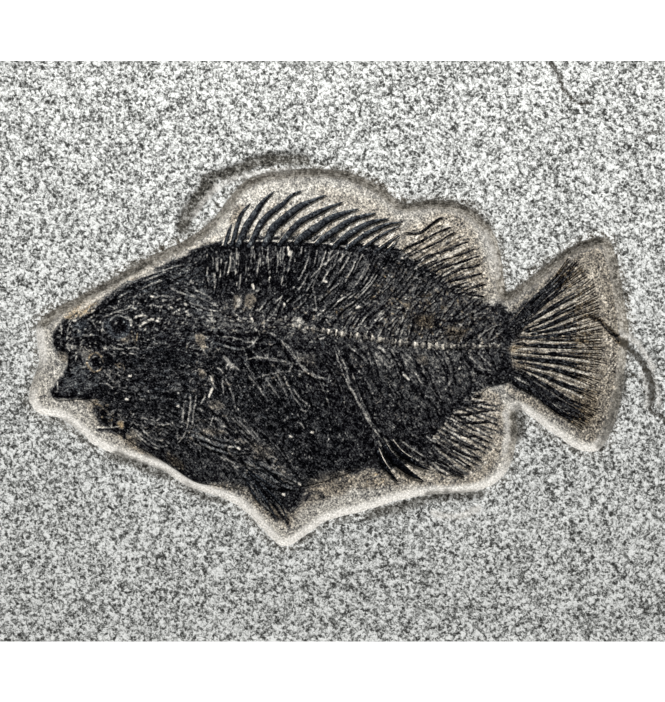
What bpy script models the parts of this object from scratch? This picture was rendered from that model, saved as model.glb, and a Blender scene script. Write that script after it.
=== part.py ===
"""Fossil fish slab: a limestone block with one spiny-finned fish fixed in a prepared hollow.

Lengths are written in millimetres and become metres where a mesh is made. X runs from the fish's
head (-X) to its tail (+X), Y from its belly to its back, and Z up out of the slab's face. The
origin is the middle of the slab's underside.
"""
import math

import bpy
import bmesh
from mathutils import Vector

MM = 0.001

# The block of stone
SLAB_LENGTH = 180.0
SLAB_WIDTH = 154.0
SLAB_THICKNESS = 14.0
SLAB_ARRIS = 0.6
HOLLOW_DEPTH = 2.2
HOLLOW_WALL_RUN = 1.9
SCOOP_DEPTH = 0.7
SCOOP_WALL_RUN = 1.0
CRACK_RADIUS = 0.7

# Heights of the fish above the hollow's floor
GAP = 0.3
WEB_THICKNESS = 0.4
PLATE_THICKNESS = 0.5
CROWN_RISE = 0.3
CROWN_RUN = 1.2
SEAM_HALF_GAP = 0.2

# Bone sizes
RAY_ROOT_RADIUS = 0.26
RAY_RADIUS = 0.42
RAY_TIP_RADIUS = 0.24
SPINE_TIP_RADIUS = 0.25
EYE = (-57.6, 6.6)
ORBIT_RADIUS = 3.2
ORBIT_WALL = 0.5
ORBIT_DEPTH = 0.4
VERTEBRA_COUNT = 22
VERTEBRA_RADIUS = 1.9
VERTEBRA_WAIST = 1.35
BACKBONE_HEIGHT = 0.8
VERTEBRAL_SPINE_COUNT = 12
RIB_COUNT = 10
FIN_SUPPORT_COUNT = 16
TAIL_RAY_COUNT = 16
SOFT_DORSAL_RAY_COUNT = 11
SOFT_ANAL_RAY_COUNT = 10
PELVIC_RAY_COUNT = 7
RAY_REACH = 0.93

SMOOTH_STEPS = 2

FLOOR = SLAB_THICKNESS - HOLLOW_DEPTH
BED = FLOOR + GAP
WEB_TOP = BED + WEB_THICKNESS
PLATE_TOP = BED + PLATE_THICKNESS
CROWN_TOP = PLATE_TOP + CROWN_RISE

# Seams that the plates of the fish share. Each plate is a loop of them.
SKULL_OUTER = [(-72, -0.5), (-74, 1.5), (-74, 4.5), (-72.5, 7), (-69.5, 8.3), (-65.5, 9.5), (-62.5, 13.5),
               (-56.5, 17.5), (-52, 20), (-47, 22), (-42, 24.7), (-38.5, 27.5)]
NAPE_SEAM = [(-38.5, 27.5), (-36, 21), (-33.5, 12.5)]
CHEEK_SEAM = [(-33.5, 12.5), (-38.5, 12), (-43, 8.5), (-47, 4.5), (-50.5, 0.5)]
MOUTH_LINE = [(-50.5, 0.5), (-55, -0.2), (-60.5, 0.6), (-66, 0.6), (-69.5, -0.6), (-72, -0.5)]
COVER_REAR = [(-33.5, 12.5), (-32.5, 5.5), (-32.5, -1.5), (-34.5, -8), (-38.5, -13.5), (-45.5, -16)]
COVER_FRONT = [(-50.5, 0.5), (-52, -4.5), (-50.5, -10.5), (-45.5, -16)]
JAW_OUTER = [(-72, -0.5), (-71.6, -4), (-73.5, -7.5), (-74.8, -10.5), (-73, -13), (-65.5, -12.5),
             (-60.5, -17)]
THROAT_SEAM = [(-60.5, -17), (-55, -18), (-49.5, -17.5), (-45.5, -16)]
BELLY = [(-60.5, -17), (-57, -21), (-51.5, -23.5), (-48, -27), (-41.5, -29.5), (-38, -33), (-32.5, -34.5),
         (-25, -36.5)]
PELVIC_SEAM = [(-25, -36.5), (-22, -31.5), (-15, -32.5), (-8, -36)]
BELLY_REAR = [(-8, -36), (-0.5, -34), (6, -31.5), (11, -27.5), (14, -24.5), (17.5, -24)]
ANAL_SEAM = [(17.5, -24), (26, -21.5), (30, -19.5), (32, -16), (35.5, -15), (39, -12)]
STALK_UNDER = [(39, -12), (41.5, -9.5), (46.5, -8)]
TAIL_SEAM = [(46.5, -8), (47, 1), (46.5, 10)]
STALK_BACK = [(46.5, 10), (42.5, 11.6), (39.5, 12.5)]
DORSAL_SEAM = [(39.5, 12.5), (36.5, 14.5), (31, 18), (26, 21.5), (20.5, 24.5), (18, 27)]
BACK = [(18, 27), (11.5, 27.8), (4.5, 28.4), (-8.5, 29), (-19, 29), (-27.5, 29), (-34, 28.5), (-38.5, 27.5)]

# Free edges of the fins
SOFT_DORSAL_EDGE = [(18, 27), (18.5, 30), (21, 32), (26, 33.8), (30, 35.5), (34.5, 32.8), (38, 29), (40, 25),
                    (41, 20), (43, 15.5), (39.5, 12.5)]
SOFT_ANAL_EDGE = [(39, -12), (43.5, -14), (44.5, -18.5), (42.5, -24.5), (39, -29.5), (34.5, -33.2),
                  (29.5, -33.8), (24, -30.5), (20, -28), (17.5, -24)]
TAIL_UNDER = [(46.5, -8), (52.5, -12), (57.5, -15.3), (63, -18.6), (67.5, -21)]
TAIL_MARGIN = [(67.5, -21), (71.5, -19.5), (74, -12.5), (76, -4.5), (76.5, 4), (75.5, 13.5), (73.5, 23),
               (70.5, 27), (66.5, 26)]
TAIL_OVER = [(66.5, 26), (61.5, 22.5), (57.5, 19), (52.5, 13.8), (46.5, 10)]
PELVIC_EDGE = [(-8, -36), (-9, -41.5), (-12, -45), (-17, -42.5), (-22, -38.5), (-25, -36.5)]

# Rim of the hollow, and the shallow scoops beside it
RIM = [(-78.5, 4), (-78, 7.5), (-73, 11.5), (-67, 14.5), (-56, 20.5), (-48.5, 25), (-39, 29.5), (-32, 34.5),
       (-27, 41), (-22.5, 45.5), (-15, 47.7), (-6, 48.3), (3.5, 47.5), (12, 44), (18.7, 39.3), (26, 40),
       (34, 39), (40, 35), (44, 28), (45.3, 20), (46.5, 15.5), (53, 20), (61, 26.3), (67, 29.3), (72.5, 30),
       (75, 25.5), (76.8, 17), (78.6, 5.5), (78, -1), (76.5, -12.5), (74, -21), (70.5, -26.2), (65, -26),
       (57.5, -21), (49, -15.5), (49, -22), (47, -30.5), (43, -35), (36.5, -37.5), (26.5, -38), (18, -39.5),
       (8, -42.5), (-1.5, -45), (-8, -49.5), (-12.5, -51.8), (-16, -50), (-22, -43.5), (-28, -39.5),
       (-38, -36), (-45.5, -31.5), (-56, -28), (-63, -25), (-67, -21.5), (-72, -18), (-78.5, -16),
       (-80.5, -11.5), (-78, -3.5)]
BACK_SCOOP = [(-41.5, 32.5), (-39, 39.5), (-34.5, 46), (-27, 50.3), (-17, 52.3), (-7, 51.8), (-12, 49.6),
              (-20.5, 48.6), (-27.5, 44.5), (-33, 38), (-36.5, 33.6)]
BELLY_SCOOP = [(24.5, -39.6), (25.5, -43.3), (31, -45.2), (37, -43.6), (41, -39.5), (37, -38.9)]
CRACK = [(66.5, 11), (71, 7.5), (75.5, 3.5), (80.5, -1), (83.5, -5.5), (85, -11), (84.5, -15), (88, -18)]
SHORT_CRACK = [(57, 75.5), (60, 72.5), (61, 69.5), (64, 66), (68.5, 66)]

# Fin spines, each from its base to its tip, with the radius at its base
DORSAL_SPINES = [
    ([(-28.2, 30.4), (-26.8, 34.2)], 0.45),
    ([(-26, 30.4), (-25.2, 34), (-23.8, 37.4), (-21.6, 39.8)], 0.5),
    ([(-23.8, 30.4), (-21.8, 33.8), (-19, 37.8), (-15.4, 42.4)], 0.6),
    ([(-20.6, 30.4), (-17.6, 34.6), (-13.2, 39.4), (-8, 42.6)], 0.65),
    ([(-17, 30.4), (-13.6, 34), (-7.8, 38.8), (-1.6, 41.6)], 0.7),
    ([(-12.4, 30.4), (-9.2, 33.2), (-3.6, 37), (3.2, 39.9)], 0.7),
    ([(-7.8, 30.4), (-4.4, 32.6), (1.2, 35.6), (7.4, 37.9)], 0.7),
    ([(-2.6, 30.4), (1, 32.2), (6.2, 34.8), (12, 36.8)], 0.65),
    ([(2.4, 29.9), (5.4, 31.2), (10, 33.5), (15, 35.2)], 0.65),
    ([(6.4, 29.4), (9.8, 30.7), (14, 32.4), (18.2, 34.2)], 0.5),
]
ANAL_SPINES = [
    ([(10.6, -29.4), (12.2, -31.4), (14.4, -33.2), (17.2, -34.8)], 0.7),
    ([(13.2, -26.4), (15.2, -29), (18.8, -31.6), (23.6, -34)], 0.85),
    ([(16.2, -26), (18, -28), (20.4, -30.4), (24.2, -32.2)], 0.5),
]

BACKBONE = [(-28, 8.2), (-22, 7.6), (-11.5, 6.8), (-0.5, 5), (10, 3.4), (20.5, 1.8), (31, 1.1), (45, 1.4)]

# Ridges of bone fused on the plates: each is a line and the radius at its two ends
SKULL_RIDGES = [
    ([(-61.5, 12), (-54, 16), (-46, 20), (-39.5, 23.5)], 0.6, 0.5),
    ([(-68, 5), (-61, 8.5)], 0.6, 0.4),
    ([(-73, 5.5), (-72.5, 1)], 0.7, 0.5),
    ([(-70, 2.5), (-62, 2.4), (-53, 1.6)], 0.6, 0.4),
    ([(-50, 8), (-44, 13), (-37, 16)], 0.6, 0.4),
    ([(-54, 4), (-51, 9)], 0.5, 0.4),
]
COVER_RIDGES = [
    ([(-49, 0.5), (-50, -5), (-48.5, -10.5), (-45, -14)], 0.7, 0.5),
    ([(-45, 4.5), (-46, -2), (-44.5, -8.5)], 0.5, 0.4),
    ([(-42, 7), (-36, 9)], 0.5, 0.4),
    ([(-42, 4), (-35, 3.5)], 0.5, 0.4),
    ([(-42, 0.5), (-35.5, -3.5)], 0.5, 0.4),
    ([(-42, -3.5), (-38, -10)], 0.5, 0.4),
]
JAW_RIDGES = [
    ([(-73, -10.5), (-66, -10.8), (-58, -10), (-53, -8)], 0.7, 0.5),
    ([(-68.5, -4.6), (-62, -5.6), (-55, -5)], 0.6, 0.4),
    ([(-62, -13.5), (-55, -14), (-50, -13)], 0.5, 0.4),
]
SHOULDER_RIDGES = [
    ([(-31, 15.5), (-30.5, 4), (-31, -5), (-34.5, -12.5), (-41, -19.5)], 0.7, 0.5),
    ([(-30.5, 16), (-33, 24)], 0.6, 0.4),
    ([(-39, -16.5), (-40, -24)], 0.5, 0.4),
    ([(-55.5, -20.8), (-44, -24), (-33, -27.5), (-22, -27)], 0.7, 0.6),
    ([(-36, -22), (-28, -24), (-19, -29)], 0.6, 0.5),
    ([(9, -11), (11, -17), (13.2, -22.5)], 0.8, 0.6),
]

CUTTERS = "cutters"
OBJECT = "fossil_fish_slab"

# Joins and cuts wait here until every curve has become a mesh, which keeps the build quick.
joins = []


def clear_scene():
    """Remove every object and the collections that this file makes."""
    for item in list(bpy.data.objects):
        bpy.data.objects.remove(item, do_unlink=True)
    for name in (OBJECT, CUTTERS):
        old = bpy.data.collections.get(name)
        if old:
            bpy.data.collections.remove(old)


def collection(name, parent=None):
    """Make a collection and link it to the scene or to its parent collection."""
    made = bpy.data.collections.new(name)
    (parent or bpy.context.scene.collection).children.link(made)
    return made


def finish(name, color, roughness):
    """Make a Principled material."""
    material = bpy.data.materials.new(name)
    material.use_nodes = True
    shader = material.node_tree.nodes["Principled BSDF"]
    shader.inputs["Base Color"].default_value = (*color, 1.0)
    shader.inputs["Roughness"].default_value = roughness
    shader.inputs["Metallic"].default_value = 0.0
    return material


# Points and outlines

def smooth_line(points, steps=SMOOTH_STEPS, closed=False):
    """Points along a smooth curve through the given points."""
    count = len(points)
    line = []
    for i in range(count if closed else count - 1):
        if closed:
            a, b, c, d = (Vector(points[(i + k) % count]) for k in (-1, 0, 1, 2))
        else:
            b, c = Vector(points[i]), Vector(points[i + 1])
            a = Vector(points[i - 1]) if i > 0 else 2 * b - c
            d = Vector(points[i + 2]) if i + 2 < count else 2 * c - b
        for step in range(steps):
            t = step / steps
            line.append(0.5 * ((2 * b) + (c - a) * t + (2 * a - 5 * b + 4 * c - d) * t * t
                               + (3 * b - a - 3 * c + d) * t ** 3))
    if not closed:
        line.append(Vector(points[-1]))
    return line


def chain(*lines):
    """Join smooth lines end to end into one closed loop, turning each the way that meets the last."""
    loop = smooth_line(lines[0])
    for points in lines[1:]:
        line = smooth_line(points)
        if (line[0] - loop[-1]).length > (line[-1] - loop[-1]).length:
            line.reverse()
        loop += line[1:]
    return counter_clockwise(loop[:-1])


def counter_clockwise(loop):
    """The same loop, running counter-clockwise seen from above."""
    area = sum(a.cross(b) for a, b in zip(loop, loop[1:] + loop[:1]))
    return loop if area > 0 else loop[::-1]


def inset(loop, distance, relax=0):
    """Move a counter-clockwise loop inwards, then even out its tight corners."""
    count = len(loop)
    moved = []
    for i, point in enumerate(loop):
        along = (loop[(i + 1) % count] - loop[i - 1]).normalized()
        moved.append(point + distance * Vector((-along.y, along.x)))
    for _ in range(relax):
        moved = [(moved[i - 1] + 2 * moved[i] + moved[(i + 1) % count]) / 4 for i in range(count)]
    return moved


def along(line, fraction):
    """The point at a fraction of a polyline's length."""
    spans = [(b - a).length for a, b in zip(line, line[1:])]
    target = fraction * sum(spans)
    for a, b, span in zip(line, line[1:], spans):
        if target <= span:
            return a.lerp(b, target / span)
        target -= span
    return line[-1].copy()


def arc(centre, radius, start, end, count):
    """Points along an arc, from a start angle to an end angle in degrees."""
    angles = [math.radians(start + (end - start) * i / (count - 1)) for i in range(count)]
    return [Vector(centre) + radius * Vector((math.cos(a), math.sin(a))) for a in angles]


# Solids

def add_object(name, mesh, into, material=None):
    """Make an object from a mesh and put it in a collection."""
    made = bpy.data.objects.new(name, mesh)
    into.objects.link(made)
    if material:
        mesh.materials.append(material)
    return made


def hide_cutter(cutter):
    """Mark an object as a shape that only cuts or joins others."""
    cutter.hide_render = True
    cutter.display_type = "WIRE"
    return cutter


def stacked(name, rings, into, material=None):
    """A closed solid through a stack of (loop, height) rings that all have the same count."""
    shape = bmesh.new()
    first, height = rings[0]
    corners = [shape.verts.new((p.x * MM, p.y * MM, height * MM)) for p in first]
    top = shape.faces.new(corners)
    for level, (loop, height) in enumerate(rings[1:]):
        grown = bmesh.ops.extrude_face_region(shape, geom=[top])
        if level > 0:
            bmesh.ops.delete(shape, geom=[top], context="FACES_ONLY")
        top = next(item for item in grown["geom"] if isinstance(item, bmesh.types.BMFace))
        corners = sorted_like(top, corners)
        for vertex, point in zip(corners, loop):
            vertex.co = (point.x * MM, point.y * MM, height * MM)
    bmesh.ops.recalc_face_normals(shape, faces=shape.faces)
    mesh = bpy.data.meshes.new(name)
    shape.to_mesh(mesh)
    shape.free()
    return add_object(name, mesh, into, material)


def sorted_like(face, corners):
    """The face's vertices in the order of the corners that they were extruded from."""
    by_place = {tuple(round(c, 7) for c in vertex.co): vertex for vertex in face.verts}
    return [by_place[tuple(round(c, 7) for c in corner.co)] for corner in corners]


def bar(name, points, radii, into, resolution=0, material=None):
    """A tapered closed bar along points, as a bevelled curve that becomes a mesh."""
    curve = bpy.data.curves.new(name, "CURVE")
    curve.dimensions = "3D"
    curve.bevel_depth = MM
    curve.bevel_resolution = resolution
    curve.use_fill_caps = True
    spline = curve.splines.new("POLY")
    spline.points.add(len(points) - 1)
    for item, point, radius in zip(spline.points, points, radii):
        item.co = (point[0] * MM, point[1] * MM, point[2] * MM, 1.0)
        item.radius = radius
    return curve_to_mesh(name, curve, into, material)


def curve_to_mesh(name, curve, into, material=None):
    """Turn a curve into a welded mesh object, and remove the curve."""
    guide = bpy.data.objects.new(name + "_curve", curve)
    into.objects.link(guide)
    graph = bpy.context.evaluated_depsgraph_get()
    mesh = bpy.data.meshes.new_from_object(guide.evaluated_get(graph))
    shape = bmesh.new()
    shape.from_mesh(mesh)
    bmesh.ops.remove_doubles(shape, verts=shape.verts, dist=0.00001)
    bmesh.ops.recalc_face_normals(shape, faces=shape.faces)
    shape.to_mesh(mesh)
    shape.free()
    made = add_object(name, mesh, into, material)
    made.matrix_world = guide.matrix_world
    bpy.data.objects.remove(guide, do_unlink=True)
    bpy.data.curves.remove(curve)
    return made


def taper(count, base, tip):
    """Radii that run evenly from base to tip."""
    return [base + (tip - base) * i / (count - 1) for i in range(count)]


def lay(line, height):
    """A flat line set at a height."""
    return [(p[0], p[1], height) for p in line]


def crown_ridges(lines):
    """Set (line, base radius, tip radius) ridges on the crown of a plate."""
    return [(line, CROWN_TOP, taper(len(line), base, tip)) for line, base, tip in lines]


def boolean(target, operands, operation):
    """Note that a collection of solids joins the target, or is cut from it."""
    joins.append((target, operands, operation))


def add_joins():
    """Add the Boolean modifiers that were noted."""
    for target, operands, operation in joins:
        modifier = target.modifiers.new(operation.lower(), "BOOLEAN")
        modifier.operation = operation
        modifier.operand_type = "COLLECTION"
        modifier.collection = operands
        modifier.solver = "EXACT"


def plate(name, loop, into, material, top=PLATE_TOP, rise=CROWN_RISE, run=CROWN_RUN):
    """A flat plate with a raised middle, kept half a seam inside its loop."""
    edge = inset(loop, SEAM_HALF_GAP)
    rings = [(edge, BED), (edge, top)]
    if rise:
        rings.append((inset(loop, SEAM_HALF_GAP + run, relax=2), top + rise))
    return stacked(name, rings, into, material)


def ridged_plate(name, loop, ridges, into, cutters, material, **sizes):
    """A plate with bars of bone fused on it."""
    made = plate(name, loop, into, material, **sizes)
    bars = collection(name + "_ridges", cutters)
    for number, (line, height, radii) in enumerate(ridges, 1):
        hide_cutter(bar(f"{name}_ridge_{number:02d}", lay(line, height), radii, bars))
    boolean(made, bars, "UNION")
    return made


def fin_rays(root, edge, count, reach):
    """Lines of rays that fan from the root line to the edge line, thickest in their middle."""
    rays = []
    for i in range(count):
        fraction = (i + 0.5) / count
        start = along(root, 0.06 + 0.88 * fraction)
        end = start.lerp(along(edge, fraction), reach)
        points = [start, start.lerp(end, 0.4), end]
        rays.append((points, WEB_TOP + 0.1, [RAY_ROOT_RADIUS, RAY_RADIUS, RAY_TIP_RADIUS]))
    return rays


# Sub-parts

def make_slab(parts, cutters, stone):
    """The block, with the hollow, the scoops beside it and the two cracks cut in its face."""
    bpy.ops.mesh.primitive_cube_add(size=1.0, location=(0, 0, SLAB_THICKNESS * MM / 2))
    slab = bpy.context.active_object
    slab.name = "slab"
    slab.scale = (SLAB_LENGTH * MM, SLAB_WIDTH * MM, SLAB_THICKNESS * MM)
    bpy.ops.object.transform_apply(location=False, rotation=False, scale=True)
    for owner in list(slab.users_collection):
        owner.objects.unlink(slab)
    parts.objects.link(slab)
    slab.data.materials.append(stone)
    edges = slab.modifiers.new("arrises", "BEVEL")
    edges.width = SLAB_ARRIS * MM
    edges.segments = 1

    cuts = collection("slab_cuts", cutters)
    above = SLAB_THICKNESS + HOLLOW_DEPTH
    rim = counter_clockwise(smooth_line(RIM, closed=True))
    floor = inset(rim, HOLLOW_WALL_RUN, relax=3)
    hide_cutter(stacked("hollow", [(floor, FLOOR), (rim, SLAB_THICKNESS), (rim, above)], cuts))
    for name, points in (("back_scoop", BACK_SCOOP), ("belly_scoop", BELLY_SCOOP)):
        mouth = counter_clockwise(smooth_line(points, closed=True))
        bed = inset(mouth, SCOOP_WALL_RUN, relax=2)
        rings = [(bed, SLAB_THICKNESS - SCOOP_DEPTH), (mouth, SLAB_THICKNESS), (mouth, above)]
        hide_cutter(stacked(name, rings, cuts))
    for name, points in (("crack", CRACK), ("short_crack", SHORT_CRACK)):
        line = smooth_line(points)
        swell = [math.sin(math.pi * (i + 0.5) / len(line)) for i in range(len(line))]
        radii = [CRACK_RADIUS * (0.4 + 0.6 * amount) for amount in swell]
        hide_cutter(bar(name, lay(line, SLAB_THICKNESS), radii, cuts))
    boolean(slab, cuts, "DIFFERENCE")
    return slab


def make_skull(parts, cutters, bone):
    """Head bones, with the eye socket and the ridges of the brow and the upper jaw."""
    loop = chain(SKULL_OUTER, NAPE_SEAM, CHEEK_SEAM, MOUTH_LINE)
    ridges = crown_ridges(SKULL_RIDGES)
    ring = arc(EYE, ORBIT_RADIUS, 20, 340, 11)
    ridges.append((ring, CROWN_TOP, [ORBIT_WALL] * len(ring)))
    skull = ridged_plate("skull", loop, ridges, parts, cutters, bone)
    socket = collection("socket_cut", cutters)
    pit = arc(EYE, ORBIT_RADIUS - 1.6 * ORBIT_WALL, 0, 330, 12)
    hide_cutter(stacked("socket", [(pit, CROWN_TOP - ORBIT_DEPTH), (pit, SLAB_THICKNESS)], socket))
    boolean(skull, socket, "DIFFERENCE")
    return skull


def make_gill_cover(parts, cutters, bone):
    """Gill cover plates with their front ridge and spreading ribs."""
    loop = chain(COVER_REAR, COVER_FRONT, CHEEK_SEAM)
    return ridged_plate("gill_cover", loop, crown_ridges(COVER_RIDGES), parts, cutters, bone)


def make_lower_jaw(parts, cutters, bone):
    """Lower jaw and the bones below it."""
    loop = chain(JAW_OUTER, THROAT_SEAM, COVER_FRONT, MOUTH_LINE)
    return ridged_plate("lower_jaw", loop, crown_ridges(JAW_RIDGES), parts, cutters, bone)


def trunk_ribs():
    """Lines of the ribs below the backbone and of the fin supports under the back."""
    back = smooth_line(BACK)
    spine = smooth_line(BACKBONE)
    ridges = []
    for i in range(RIB_COUNT):
        root = along(spine, 0.05 + 0.4 * i / RIB_COUNT) - Vector((0, 3.2))
        sweep = 6.0 + 0.75 * i
        drop = 20.0 - 0.75 * i
        middle = root + Vector((0.35 * sweep, -0.55 * drop))
        ridges.append(([root, middle, root + Vector((sweep, -drop))], 0.55, 0.3))
    for i in range(FIN_SUPPORT_COUNT):
        head = along(back, 0.14 + 0.047 * i) - Vector((0, 1.2))
        foot = head + Vector((3.0 - 0.45 * i, -11.5 + 0.25 * i))
        ridges.append(([head, foot], 0.5, 0.3))
    return ridges


def make_trunk(parts, cutters, bone):
    """Body behind the head, pressed flat, with its ribs standing up from it."""
    loop = chain(BELLY, PELVIC_SEAM, BELLY_REAR, ANAL_SEAM, STALK_UNDER, TAIL_SEAM, STALK_BACK,
                 DORSAL_SEAM, BACK, NAPE_SEAM, COVER_REAR, THROAT_SEAM)
    return ridged_plate("trunk", loop, crown_ridges(trunk_ribs() + SHOULDER_RIDGES), parts, cutters, bone)


def make_backbone(parts, cutters, bone):
    """Vertebrae in a row, with the bony spines above and below them fused on."""
    middle = CROWN_TOP + GAP + BACKBONE_HEIGHT / 2
    line = smooth_line(BACKBONE, steps=4)
    count = 2 * VERTEBRA_COUNT
    points = [along(line, i / count) for i in range(count + 1)]
    radii = []
    for i in range(count + 1):
        size = VERTEBRA_WAIST if i % 2 else VERTEBRA_RADIUS
        radii.append(size * (1.0 - 0.25 * i / count))
    backbone = bar("backbone", lay(points, middle), radii, parts, resolution=1, material=bone)
    for vertex in backbone.data.vertices:
        rise = (vertex.co.z / MM - middle) * BACKBONE_HEIGHT / (2 * VERTEBRA_RADIUS)
        vertex.co.z = (middle + rise) * MM
    spines = collection("vertebral_spines", cutters)
    for i in range(VERTEBRAL_SPINE_COUNT):
        start = along(line, 0.46 + 0.5 * i / VERTEBRAL_SPINE_COUNT)
        lean = Vector((2.6, 0))
        reach = 8.5 - 0.42 * i
        for side in (-1, 1):
            tip = start + lean + Vector((0.25 * reach, side * reach))
            ends = lay([start, tip], middle - 0.1)
            hide_cutter(bar(f"vertebral_spine_{i + 1:02d}_{'up' if side > 0 else 'down'}", ends,
                            [0.3, 0.2], spines))
    boolean(backbone, spines, "UNION")
    return backbone


def make_fin_spines(parts, bone):
    """Stiff spines of the back fin and of the anal fin, one solid each."""
    for number, (points, radius) in enumerate(DORSAL_SPINES, 1):
        line = smooth_line(points)
        bar(f"dorsal_spine_{number:02d}", lay(line, BED + radius), taper(len(line), radius, SPINE_TIP_RADIUS),
            parts, resolution=1, material=bone)
    for number, (points, radius) in enumerate(ANAL_SPINES, 1):
        line = smooth_line(points)
        bar(f"anal_spine_{number}", lay(line, BED + radius), taper(len(line), radius, SPINE_TIP_RADIUS),
            parts, resolution=1, material=bone)


def make_fins(parts, cutters, web):
    """Soft fins: each is a thin web with its rays fused on it."""
    fins = [
        ("soft_dorsal_fin", DORSAL_SEAM, [SOFT_DORSAL_EDGE], SOFT_DORSAL_EDGE, SOFT_DORSAL_RAY_COUNT),
        ("soft_anal_fin", ANAL_SEAM, [SOFT_ANAL_EDGE], SOFT_ANAL_EDGE, SOFT_ANAL_RAY_COUNT),
        ("tail_fin", TAIL_SEAM, [TAIL_OVER, TAIL_MARGIN, TAIL_UNDER], TAIL_MARGIN[::-1], TAIL_RAY_COUNT),
        ("pelvic_fin", PELVIC_SEAM, [PELVIC_EDGE], PELVIC_EDGE, PELVIC_RAY_COUNT),
    ]
    for name, seam, edges, margin, count in fins:
        loop = chain(seam, *edges)
        root = [Vector(p) for p in seam]
        tips = smooth_line(margin[::-1])
        rays = fin_rays(root, tips, count, RAY_REACH)
        ridged_plate(name, loop, rays, parts, cutters, web, top=WEB_TOP, rise=0.0)


def main():
    """Build the slab and the fish in it."""
    clear_scene()
    parts = collection(OBJECT)
    cutters = collection(CUTTERS)
    stone = finish("limestone", (0.50, 0.50, 0.49), 0.95)
    bone = finish("fossil_bone", (0.025, 0.026, 0.032), 0.45)
    web = finish("fin_membrane", (0.10, 0.09, 0.07), 0.6)
    make_slab(parts, cutters, stone)
    make_skull(parts, cutters, bone)
    make_gill_cover(parts, cutters, bone)
    make_lower_jaw(parts, cutters, bone)
    make_trunk(parts, cutters, bone)
    make_backbone(parts, cutters, bone)
    make_fin_spines(parts, bone)
    make_fins(parts, cutters, web)
    add_joins()


if __name__ == "__main__":
    main()
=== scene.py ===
"""Fossil fish slab: the finished surfaces of the limestone block and of the fish that lies in its hollow.

Lengths are in millimetres until a mesh is made. X runs from the fish's head to its tail, Y from its belly to
its back, and Z up out of the slab's face. The origin is the middle of the slab's underside.
"""
import logging
import math
from dataclasses import dataclass, field
from enum import Enum

import bmesh
import bpy
import numpy as np
from mathutils import Matrix, Vector


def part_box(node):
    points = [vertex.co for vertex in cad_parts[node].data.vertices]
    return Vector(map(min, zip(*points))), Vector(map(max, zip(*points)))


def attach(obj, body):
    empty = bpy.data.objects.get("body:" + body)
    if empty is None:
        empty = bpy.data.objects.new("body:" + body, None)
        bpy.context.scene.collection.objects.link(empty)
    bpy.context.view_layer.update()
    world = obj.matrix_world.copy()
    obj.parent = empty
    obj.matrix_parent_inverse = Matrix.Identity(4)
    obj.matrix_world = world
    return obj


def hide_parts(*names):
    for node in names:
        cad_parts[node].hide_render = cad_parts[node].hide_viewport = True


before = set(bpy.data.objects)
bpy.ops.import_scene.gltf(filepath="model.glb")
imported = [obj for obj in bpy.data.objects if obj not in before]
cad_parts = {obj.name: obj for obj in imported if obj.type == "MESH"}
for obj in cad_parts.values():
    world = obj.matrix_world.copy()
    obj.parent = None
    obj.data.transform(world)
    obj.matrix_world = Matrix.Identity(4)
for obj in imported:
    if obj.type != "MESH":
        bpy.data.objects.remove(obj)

logging.basicConfig(level=logging.INFO, format="%(message)s")
log = logging.getLogger("fossil_fish_slab")

MM = 0.001
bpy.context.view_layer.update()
ROOT = "root"

Points = list[tuple[float, float]]
Array = np.ndarray

# Heights, from the solids that the surfaces stand for
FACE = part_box("slab")[1][2] / MM
FLOOR = FACE - 2.2
UNDER = FLOOR - 0.25
PLATE_TOP, PLATE_BRINK, COVER_TOP = 12.6, 12.1, 12.7
WEB_TOP, WEB_BRINK = 12.3, 11.85
RAY_LEVEL = 12.45

# Steps between two given points of a smooth line, and the gap at which two ends count as one
SPAN_STEPS = 12
TOUCHING = 0.01

# Noise: places along a side of its table, and how each finer layer differs from the one before
TABLE_SIDE = 256
LAYER_SEED, LAYER_SHIFT, LAYER_WEIGHT, LAYER_SIZE = 97, 0.37, 0.55, 0.5

# Rim of the hollow
RIM: Points = [(-78.5,4), (-78,7.5), (-73,11.5), (-67,14.5), (-56,20.5), (-48.5,25), (-39,29.5), (-32,34.5),
    (-27,41), (-22.5,45.5), (-15,47.7), (-6,48.3), (3.5,47.5), (12,44), (18.7,39.3), (26,40), (34,39),
    (40,35), (44,28), (45.3,20), (46.5,15.5), (53,20), (61,26.3), (67,29.3), (72.5,30), (75,25.5), (76.8,17),
    (78.6,5.5), (78,-1), (76.5,-12.5), (74,-21), (70.5,-26.2), (65,-26), (57.5,-21), (49,-15.5), (49,-22),
    (47,-30.5), (43,-35), (36.5,-37.5), (26.5,-38), (18,-39.5), (8,-42.5), (-1.5,-45), (-8,-49.5),
    (-12.5,-51.8), (-16,-50), (-22,-43.5), (-28,-39.5), (-38,-36), (-45.5,-31.5), (-56,-28), (-63,-25),
    (-67,-21.5), (-72,-18), (-78.5,-16), (-80.5,-11.5), (-78,-3.5)]

# Seams that the plates of the fish share
SKULL_OUTER = [(-72,-0.5), (-74,1.5), (-74,4.5), (-72.5,7), (-69.5,8.3), (-65.5,9.5), (-62.5,13.5),
    (-56.5,17.5), (-52,20), (-47,22), (-42,24.7), (-38.5,27.5)]
NAPE_SEAM = [(-38.5,27.5), (-36,21), (-33.5,12.5)]
CHEEK_SEAM = [(-33.5,12.5), (-38.5,12), (-43,8.5), (-47,4.5), (-50.5,0.5)]
MOUTH_LINE = [(-50.5,0.5), (-55,-0.2), (-60.5,0.6), (-66,0.6), (-69.5,-0.6), (-72,-0.5)]
COVER_REAR = [(-33.5,12.5), (-32.5,5.5), (-32.5,-1.5), (-34.5,-8), (-38.5,-13.5), (-45.5,-16)]
COVER_FRONT = [(-50.5,0.5), (-52,-4.5), (-50.5,-10.5), (-45.5,-16)]
JAW_OUTER = [(-72,-0.5), (-71.6,-4), (-73.5,-7.5), (-74.8,-10.5), (-73,-13), (-64.5,-13), (-61.5,-18)]
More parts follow.
